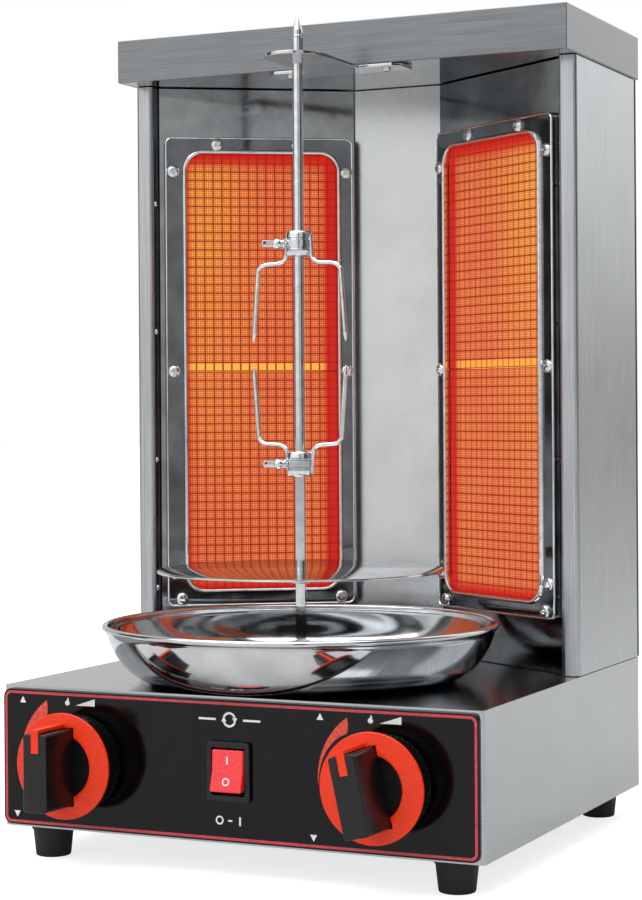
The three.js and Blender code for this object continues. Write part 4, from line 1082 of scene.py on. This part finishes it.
# %% [markdown]
# ## Rubber feet
# A moulded foot tapers to the table. It has a lip where it meets the base, a rounded heel
# and a pocket for its screw.
# %% Modelling the feet
FEET = ("foot_front_left", "foot_front_right", "foot_rear_left", "foot_rear_right")
for node in FEET:
    low, high = box_mm(node)
    tall, wide = high.z - low.z, (high.x - low.x) / 2
    heel = wide - 2.4
    foot = lathed([[0, 8], [5, 8], [5, 0], [heel - 1, 0], [heel - 0.3, 0.3], [heel, 1],
                   [wide - 1.0, tall - 3.4], [wide - 0.7, tall - 2.6], [wide - 0.1, tall - 2.2],
                   [wide, tall - 1.6], [wide - 0.2, tall - 0.3], [wide - 0.8, tall], [0, tall]], 48)
    foot.location = Vector(((low.x + high.x) / 2, (low.y + high.y) / 2, low.z)) * MM
    finished(foot, f"rubber_{node}", "root", "foot_rubber", rubber, node)

# %% [markdown]
# ## Drip pan and disc
# The pan is spun from one sheet: a flat floor, a wall that curves up, and a rim rolled
# outwards. The disc is a thin polished plate with a rounded edge.
# %% Spinning the pan
pan_low, pan_high = box_mm("drip_pan")
axis_y = (pan_low.y + pan_high.y) / 2
pan_radius, pan_depth = (pan_high.x - pan_low.x) / 2, pan_high.z - pan_low.z
PAN_FLOOR, PAN_HOLE, PAN_WALL, RIM_ROLL = 80.0, 6.5, 1.0, 1.7
PAN_SWEEP = math.radians(72)  # how far round the wall's curve climbs
rim_centre = pan_radius - RIM_ROLL
wall_top = pan_depth - RIM_ROLL
outside, inside = [], []
for step in range(25):
    turn = PAN_SWEEP * step / 24
    across = math.sin(turn) / math.sin(PAN_SWEEP)
    up = (1 - math.cos(turn)) / (1 - math.cos(PAN_SWEEP))
    point = Vector((PAN_FLOOR + (rim_centre - PAN_FLOOR) * across, wall_top * up))
    slope = Vector((rim_centre - PAN_FLOOR, wall_top * math.tan(max(turn, 0.02)) * 0.55))
    slope.normalize()
    outside.append(point)
    inside.append(point + Vector((-slope.y, slope.x)) * PAN_WALL)
rim = []
for step in range(13):
    turn = math.radians(-60 + 250 * step / 12)
    rim.append(Vector((rim_centre + RIM_ROLL * math.cos(turn),
                       wall_top + RIM_ROLL * math.sin(turn))))
profile = [[PAN_HOLE, 0.25], [PAN_HOLE + 1, 0], [40, 0]]
profile += [list(p) for p in outside[:-1]] + [list(p) for p in rim]
profile += [list(p) for p in inside[-2::-1]]
profile += [[40, PAN_WALL], [PAN_HOLE + 1, PAN_WALL], [PAN_HOLE, PAN_WALL - 0.25], [PAN_HOLE, 0.25]]
pan = lathed(profile, 160)
pan.location = Vector((0, axis_y, pan_low.z)) * MM
finished(pan, "spun_drip_pan", "pan", "mirror_steel", mirror_steel, "drip_pan", smooth=50)

# %% The disc and its collar
disc_low, disc_high = box_mm("meat_disc")
disc_radius, disc_thick = (disc_high.x - disc_low.x) / 2, disc_high.z - disc_low.z
disc = lathed([[3.4, 0.2], [3.6, 0], [disc_radius - 0.6, 0], [disc_radius - 0.18, 0.2],
               [disc_radius, disc_thick / 2], [disc_radius - 0.18, disc_thick - 0.2],
               [disc_radius - 0.6, disc_thick], [3.6, disc_thick], [3.4, disc_thick - 0.2],
               [3.4, 0.2]], 144)
disc.location = Vector((0, axis_y, disc_low.z)) * MM
finished(disc, "polished_disc", "disc", "mirror_steel", mirror_steel, "meat_disc")
finished(softened("disc_collar", 0.7, 3), "disc_stop_collar", "skewer", "chrome_plate", chrome,
         "disc_collar", smooth=40)

# %% [markdown]
# ## Skewer and forks
# The skewer is a ground rod with a sharp point. Each fork is a hub with two bent prongs,
# locked by a thumb screw with a ball and a flat wing.
# %% The skewer
rod_low, rod_high = box_mm("skewer_rod")
rod_radius, tall = (rod_high.x - rod_low.x) / 2, rod_high.z - rod_low.z
skewer = lathed([[0, 0], [rod_radius - 0.5, 0], [rod_radius, 0.5], [rod_radius, tall - 13],
                 [rod_radius - 0.35, tall - 12.6], [rod_radius - 0.35, tall - 12.1],
                 [rod_radius, tall - 11.7], [rod_radius, tall - 9.2],
                 [rod_radius - 0.3, tall - 8.4], [0.35, tall - 0.5], [0, tall]], 32)
skewer.location = Vector((0, axis_y, rod_low.z)) * MM
finished(skewer, "pointed_skewer", "skewer", "chrome_plate", chrome, "skewer_rod")


# %% The forks and thumb screws
HUB_HALF, HUB_RADIUS, HUB_BORE = 7.0, 7.4, 3.4
PRONG_RADIUS, PRONG_BEND, PRONG_RUN = 1.3, 25.5, 31.6


def fork(level, up):
    low, high = box_mm(f"{level}_fork")
    body = f"{level}_fork"
    hub_z = high.z - HUB_HALF if up < 0 else low.z + HUB_HALF
    half, radius, bore = HUB_HALF, HUB_RADIUS, HUB_BORE
    hub = lathed([[bore, -half], [radius - 0.8, -half], [radius, -half + 0.8], [radius, -3.4],
                  [radius - 0.7, -3.0], [radius - 0.7, -2.2], [radius, -1.8], [radius, 1.8],
                  [radius - 0.7, 2.2], [radius - 0.7, 3.0], [radius, 3.4], [radius, half - 0.8],
                  [radius - 0.8, half], [bore, half], [bore, -half]], 40)
    hub.location = Vector((0, axis_y, hub_z)) * MM
    settle(hub)
    tip = (high.x - low.x) / 2 - 1.35
    prongs = []
    for side in (-1, 1):
        route = [(7.0, -5), (7.8, 6), (9.2, 9), (13, 10.6), (21.3, 11.2), (24.7, 13.6),
                 (PRONG_BEND, 18), (tip, 49.6)]
        points = [(side * x, axis_y, hub_z + up * z) for x, z in route]
        prong = rod(smooth_path(points), PRONG_RADIUS, 4)
        end = Vector(points[-1])
        point = lathed([[0, -0.5], [PRONG_RADIUS, -0.5], [1.28, 0], [0.5, 4], [0, 5.4]], 20)
        lean = side * up * math.atan2(tip - PRONG_BEND, PRONG_RUN)
        point.rotation_euler = (0 if up > 0 else math.pi, lean, 0)
        point.location = end * MM
        prongs += [prong, settle(point)]
    finished(weld(hub, *prongs), f"{level}_prong_fork", body, "chrome_plate", chrome,
             f"{level}_fork", smooth=50)

    joint = next(j for j in frame["joints"] if j["child"] == f"{level}_screw")
    aim = Vector(joint["axis"]).normalized()
    # drawn outwards along Z, then laid along the screw's own axis
    screw = lathed([[0, 3.8], [1.3, 3.8], [1.5, 4.1], [1.5, 7.6], [2.6, 7.9], [2.9, 8.4],
                    [2.9, 9.2], [2.2, 9.6], [2.6, 10.2], [3.1, 11.2], [3.2, 12.0], [3.1, 12.8],
                    [2.5, 13.9], [1.6, 14.6], [0, 14.9]], 28)
    wing = block((-1.7 * MM, -0.75 * MM, 13 * MM), (1.7 * MM, 0.75 * MM, 20.6 * MM))
    open_mesh(wing)
    pick("FACE", lambda middle, normal: normal.z > 0.9)
    bpy.ops.transform.resize(value=(1.15, 0.7, 1))
    pick("EDGE", lambda middle, along: abs(along.y) > 0.9 and middle.z > 18 * MM)
    bpy.ops.mesh.bevel(offset=1.3 * MM, segments=5)
    close_mesh()
    modify(wing, "BEVEL", width=0.25 * MM, segments=2, limit_method="ANGLE")
    piece = weld(screw, wing)
    lay = aim.to_track_quat("Z", "X").to_matrix().to_4x4()
    piece.matrix_world = Matrix.Translation(Vector((0, axis_y, hub_z)) * MM) @ lay
    finished(piece, f"{level}_wing_screw", f"{level}_screw", "chrome_plate", chrome,
             f"{level}_thumb_screw", smooth=50)


fork("upper", -1)
fork("lower", 1)

# %% [markdown]
# ## Back fittings
# Behind the base are the gas inlet, a turned brass nipple with barbs for a hose, and the
# moulded gland where a supply cord would leave.
# %% The nipple and the gland
def fitting(node, profile, steps=40):
    """Turns a profile about a line along Y; 0 is the base's rear face."""
    low, high = box_mm(node)
    made = lathed(profile, steps, "Y")
    made.rotation_euler.z = math.pi
    made.location = Vector(((low.x + high.x) / 2, base_back, (low.z + high.z) / 2)) * MM
    return settle(made)


base_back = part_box("base_housing")[1].y / MM
barbs = []
for barb in range(3):
    start = 9 + barb * 5
    barbs += [[4.1, start + 0.2], [5.1, start + 0.7], [5.0, start + 1.1], [4.2, start + 4.6]]
nipple = fitting("gas_inlet_nipple", [[3, -14], [6, -14], [6, 1], [4.1, 1], *barbs, [3.9, 24],
                                      [3.2, 24], [3, 23.6], [3, -14]])
shoulder = fitting("gas_inlet_nipple", [[4, 0.3], [9.2, 0.3], [9.8, 0.9], [9.8, 7.4], [9.2, 8],
                                        [4, 8], [4, 0.3]], 6)
finished(weld(nipple, shoulder), "brass_hose_nipple", "root", "gas_brass", brass,
         "gas_inlet_nipple")
gland = fitting("cable_gland", [[4, -12], [6, -12], [6, 0.3], [9.3, 0.3], [9.5, 0.6], [9.5, 2.7],
                                [9.2, 3], [8, 3.2], [8, 4], [7.6, 4.2], [7.6, 9.6], [7.9, 9.9],
                                [7.6, 11.4], [6.9, 13.6], [6.2, 14.8], [5.8, 15], [4.4, 15],
                                [4, 14.6], [4, -12]], 60)
open_mesh(gland)
pick("FACE", lambda middle, normal: abs(normal.y) < 0.3 and 4.4 < middle.y / MM - base_back < 9.5
     and int((math.atan2(normal.z, normal.x) % FULL_TURN) / FULL_TURN * 60) % 3 == 0)
bpy.ops.mesh.inset(thickness=0.15 * MM, depth=-0.5 * MM, use_individual=True)
close_mesh()
finished(gland, "moulded_cord_gland", "root", "knob_black", phenolic, "cable_gland")

# %% [markdown]
# ## Pieces that keep their CAD shape
# The gas train, the drive and the bottom plate are inside or underneath, and their CAD
# shape is already right. They only need their finish.
# %% Dressing the inner pieces
DRESS = {
    zinc: ["base_bottom_plate", "gas_manifold", "motor_bracket", "drive_spindle"],
    cast_alloy: ["gear_motor"],
    brass: ["spindle_bush"],
}
for side in ("left", "right"):
    DRESS[zinc] += [f"{side}_gas_pipe", f"{side}_mixing_tube", f"{side}_burner_box",
                    f"{side}_valve_spring_seat"]
    DRESS[cast_alloy] += [f"{side}_gas_valve"]
    DRESS[brass] += [f"{side}_gas_injector", f"{side}_valve_stem"]
for material, names in DRESS.items():
    for name in names:
        data = frame["nodes"][name].data
        data.materials.clear()
        data.materials.append(material)
print("dressed", sum(len(names) for names in DRESS.values()), "CAD nodes")

for spare in (frame_screw, small_screw, rivet):
    bpy.data.objects.remove(spare)

# %% [markdown]
# ## The studio
# A big pale floor, one broad soft light overhead, and a plain surround. Polished steel shows
# only what it reflects, so the surround is dark with a few soft panels of light, and white
# where nothing stands between it and the lens.
# %% The floor
bpy.ops.object.select_all(action="DESELECT")
bpy.ops.mesh.primitive_circle_add(radius=14, vertices=96, fill_type="NGON", location=(0, 0, 0))
floor = bpy.context.object
floor.name = "studio_floor"
FLOOR_SEEN, FLOOR_REFLECTED = 0.65, 0.1
floor_paint, floor_tree, floor_shader, _ = new_finish(
    "matt white studio floor", "#C8C8C8", 0.0, 0.9)
floor_shader.inputs["Specular IOR Level"].default_value = 0.1
floor_shader.inputs["Emission Color"].default_value = paint("#FFFFFF")
# the floor is white to look at, but gives the steel only a grey reflection
seen_floor = add_node(floor_tree, "ShaderNodeLightPath").outputs["Is Camera Ray"]
lit_floor = add_node(floor_tree, MATHS, TIMES_PLUS, (seen_floor, FLOOR_SEEN, FLOOR_REFLECTED))
floor_tree.links.new(lit_floor.outputs["Value"], floor_shader.inputs["Emission Strength"])
floor.data.materials.append(floor_paint)
floor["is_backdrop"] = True


# %% The soft light overhead
def soft_box(name, place, aim, size, power):
    light = bpy.data.lights.new(name, "AREA")
    light.shape = "RECTANGLE"
    light.size, light.size_y = size
    light.energy = power
    made = bpy.data.objects.new(name, light)
    bpy.context.scene.collection.objects.link(made)
    made.location = place
    made.rotation_euler = (Vector(place) - Vector(aim)).to_track_quat("Z", "Y").to_euler()
    made.visible_camera = False
    return made


middle = (cad_low + cad_high) / 2
soft_box("overhead", (-0.3, -0.5, 2.4), middle, (3.0, 3.0), 70)

# %% The surround
world = bpy.data.worlds.new("plain surround")
bpy.context.scene.world = world
world.use_nodes = True
sky = world.node_tree
direction = add_node(sky, "ShaderNodeTexCoord").outputs["Generated"]


def light_panel(azimuth, half_width, low, high, level, edge):
    """A soft-edged panel of light round one direction; sizes are slopes seen from the oven."""
    angle = math.radians(azimuth)
    ahead = Vector((math.sin(angle), -math.cos(angle), 0))
    across = Vector((math.cos(angle), math.sin(angle), 0))
    parts = []
    for axis in (ahead, across, Vector((0, 0, 1))):
        parts.append(add_node(sky, "ShaderNodeVectorMath", {"operation": "DOT_PRODUCT"},
                              (direction, axis)).outputs["Value"])
    near = add_node(sky, MATHS, {"operation": "MAXIMUM"}, (parts[0], 0.001)).outputs[0]
    sideways, upwards = (add_node(sky, MATHS, {"operation": "DIVIDE"}, (part, near)).outputs[0]
                         for part in parts[1:])
    sideways = add_node(sky, MATHS, {"operation": "ABSOLUTE"}, (sideways,)).outputs[0]
    share = level
    for value, start, end in ((sideways, half_width + edge, half_width - edge),
                              (upwards, low - edge, low + edge),
                              (upwards, high + edge, high - edge), (parts[0], 0.0, 0.05)):
        ramp = add_node(sky, RANGE, SOFT_STEP, {
            "Value": value, "From Min": start, "From Max": end})
        share = add_node(sky, MATHS, TIMES, (ramp.outputs["Result"], share)).outputs[0]
    return share


BASE_GLOW = 0.07
# azimuth, half width, low, high, level, edge; azimuths run from the front (0) through the
# right (90) to the back (180)
PANELS = [
    (-26, 1.07, -0.4, 1.4, 0.78, 0.06),
    (-26, 0.5, 0.05, 1.4, 0.35, 0.1),
    (44, 0.27, -0.3, 1.4, 0.55, 0.03),
    (156, 0.7, -0.5, 1.3, 0.33, 0.1),
    (156, 0.6, 0.06, 1.3, 0.8, 0.1),
    (105, 0.3, -0.2, 1.2, 0.16, 0.1),
    (-140, 0.7, -0.1, 1.2, 0.6, 0.1),
]
glow = BASE_GLOW
for panel in PANELS:
    glow = add_node(sky, MATHS, PLUS, (glow, light_panel(*panel))).outputs[0]
height = add_node(sky, "ShaderNodeSeparateXYZ", inputs={"Vector": direction}).outputs["Z"]
above = add_node(sky, RANGE, SOFT_STEP, {
    "Value": height, "From Min": 0.35, "From Max": 0.95, "To Max": 0.55}).outputs["Result"]
glow = add_node(sky, MATHS, PLUS, (glow, above)).outputs[0]
seen = add_node(sky, "ShaderNodeLightPath").outputs["Is Camera Ray"]
glow = add_node(sky, MATHS, {"operation": "MAXIMUM"}, (glow, seen)).outputs[0]
sky.links.new(glow, sky.nodes["Background"].inputs["Strength"])
sky.nodes["Background"].inputs["Color"].default_value = paint("#FFFFFF")

# %% [markdown]
# ## The camera
# A long lens from a little to the right, level with the middle of the oven.
# %% Camera
lens = bpy.data.cameras.new("studio camera")
lens.sensor_width = 36
lens.lens = 88.45
lens.shift_x, lens.shift_y = -0.0027, -0.0402
lens.dof.use_dof = False
camera = bpy.data.objects.new("studio camera", lens)
bpy.context.scene.collection.objects.link(camera)
camera.location = (0.5313, -1.137, 0.2429)
yaw, pitch, roll = math.radians(25.09), math.radians(-0.10), math.radians(-0.37)
camera.matrix_world = (Matrix.Translation(camera.location) @ Matrix.Rotation(yaw, 4, "Z")
                       @ Matrix.Rotation(math.pi / 2 + pitch, 4, "X")
                       @ Matrix.Rotation(roll, 4, "Z"))
bpy.context.scene.camera = camera
bpy.context.scene.view_settings.view_transform = "Standard"

# %% [markdown]
# ## The visual box
# The CAD model's box is printed at the start, and the visual model's box here. The visual
# model has to stay inside the CAD model's box.
# %% Sizes
low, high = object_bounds()
print("visual box in mm:", [round(v / MM, 1) for v in (*low, *high)])
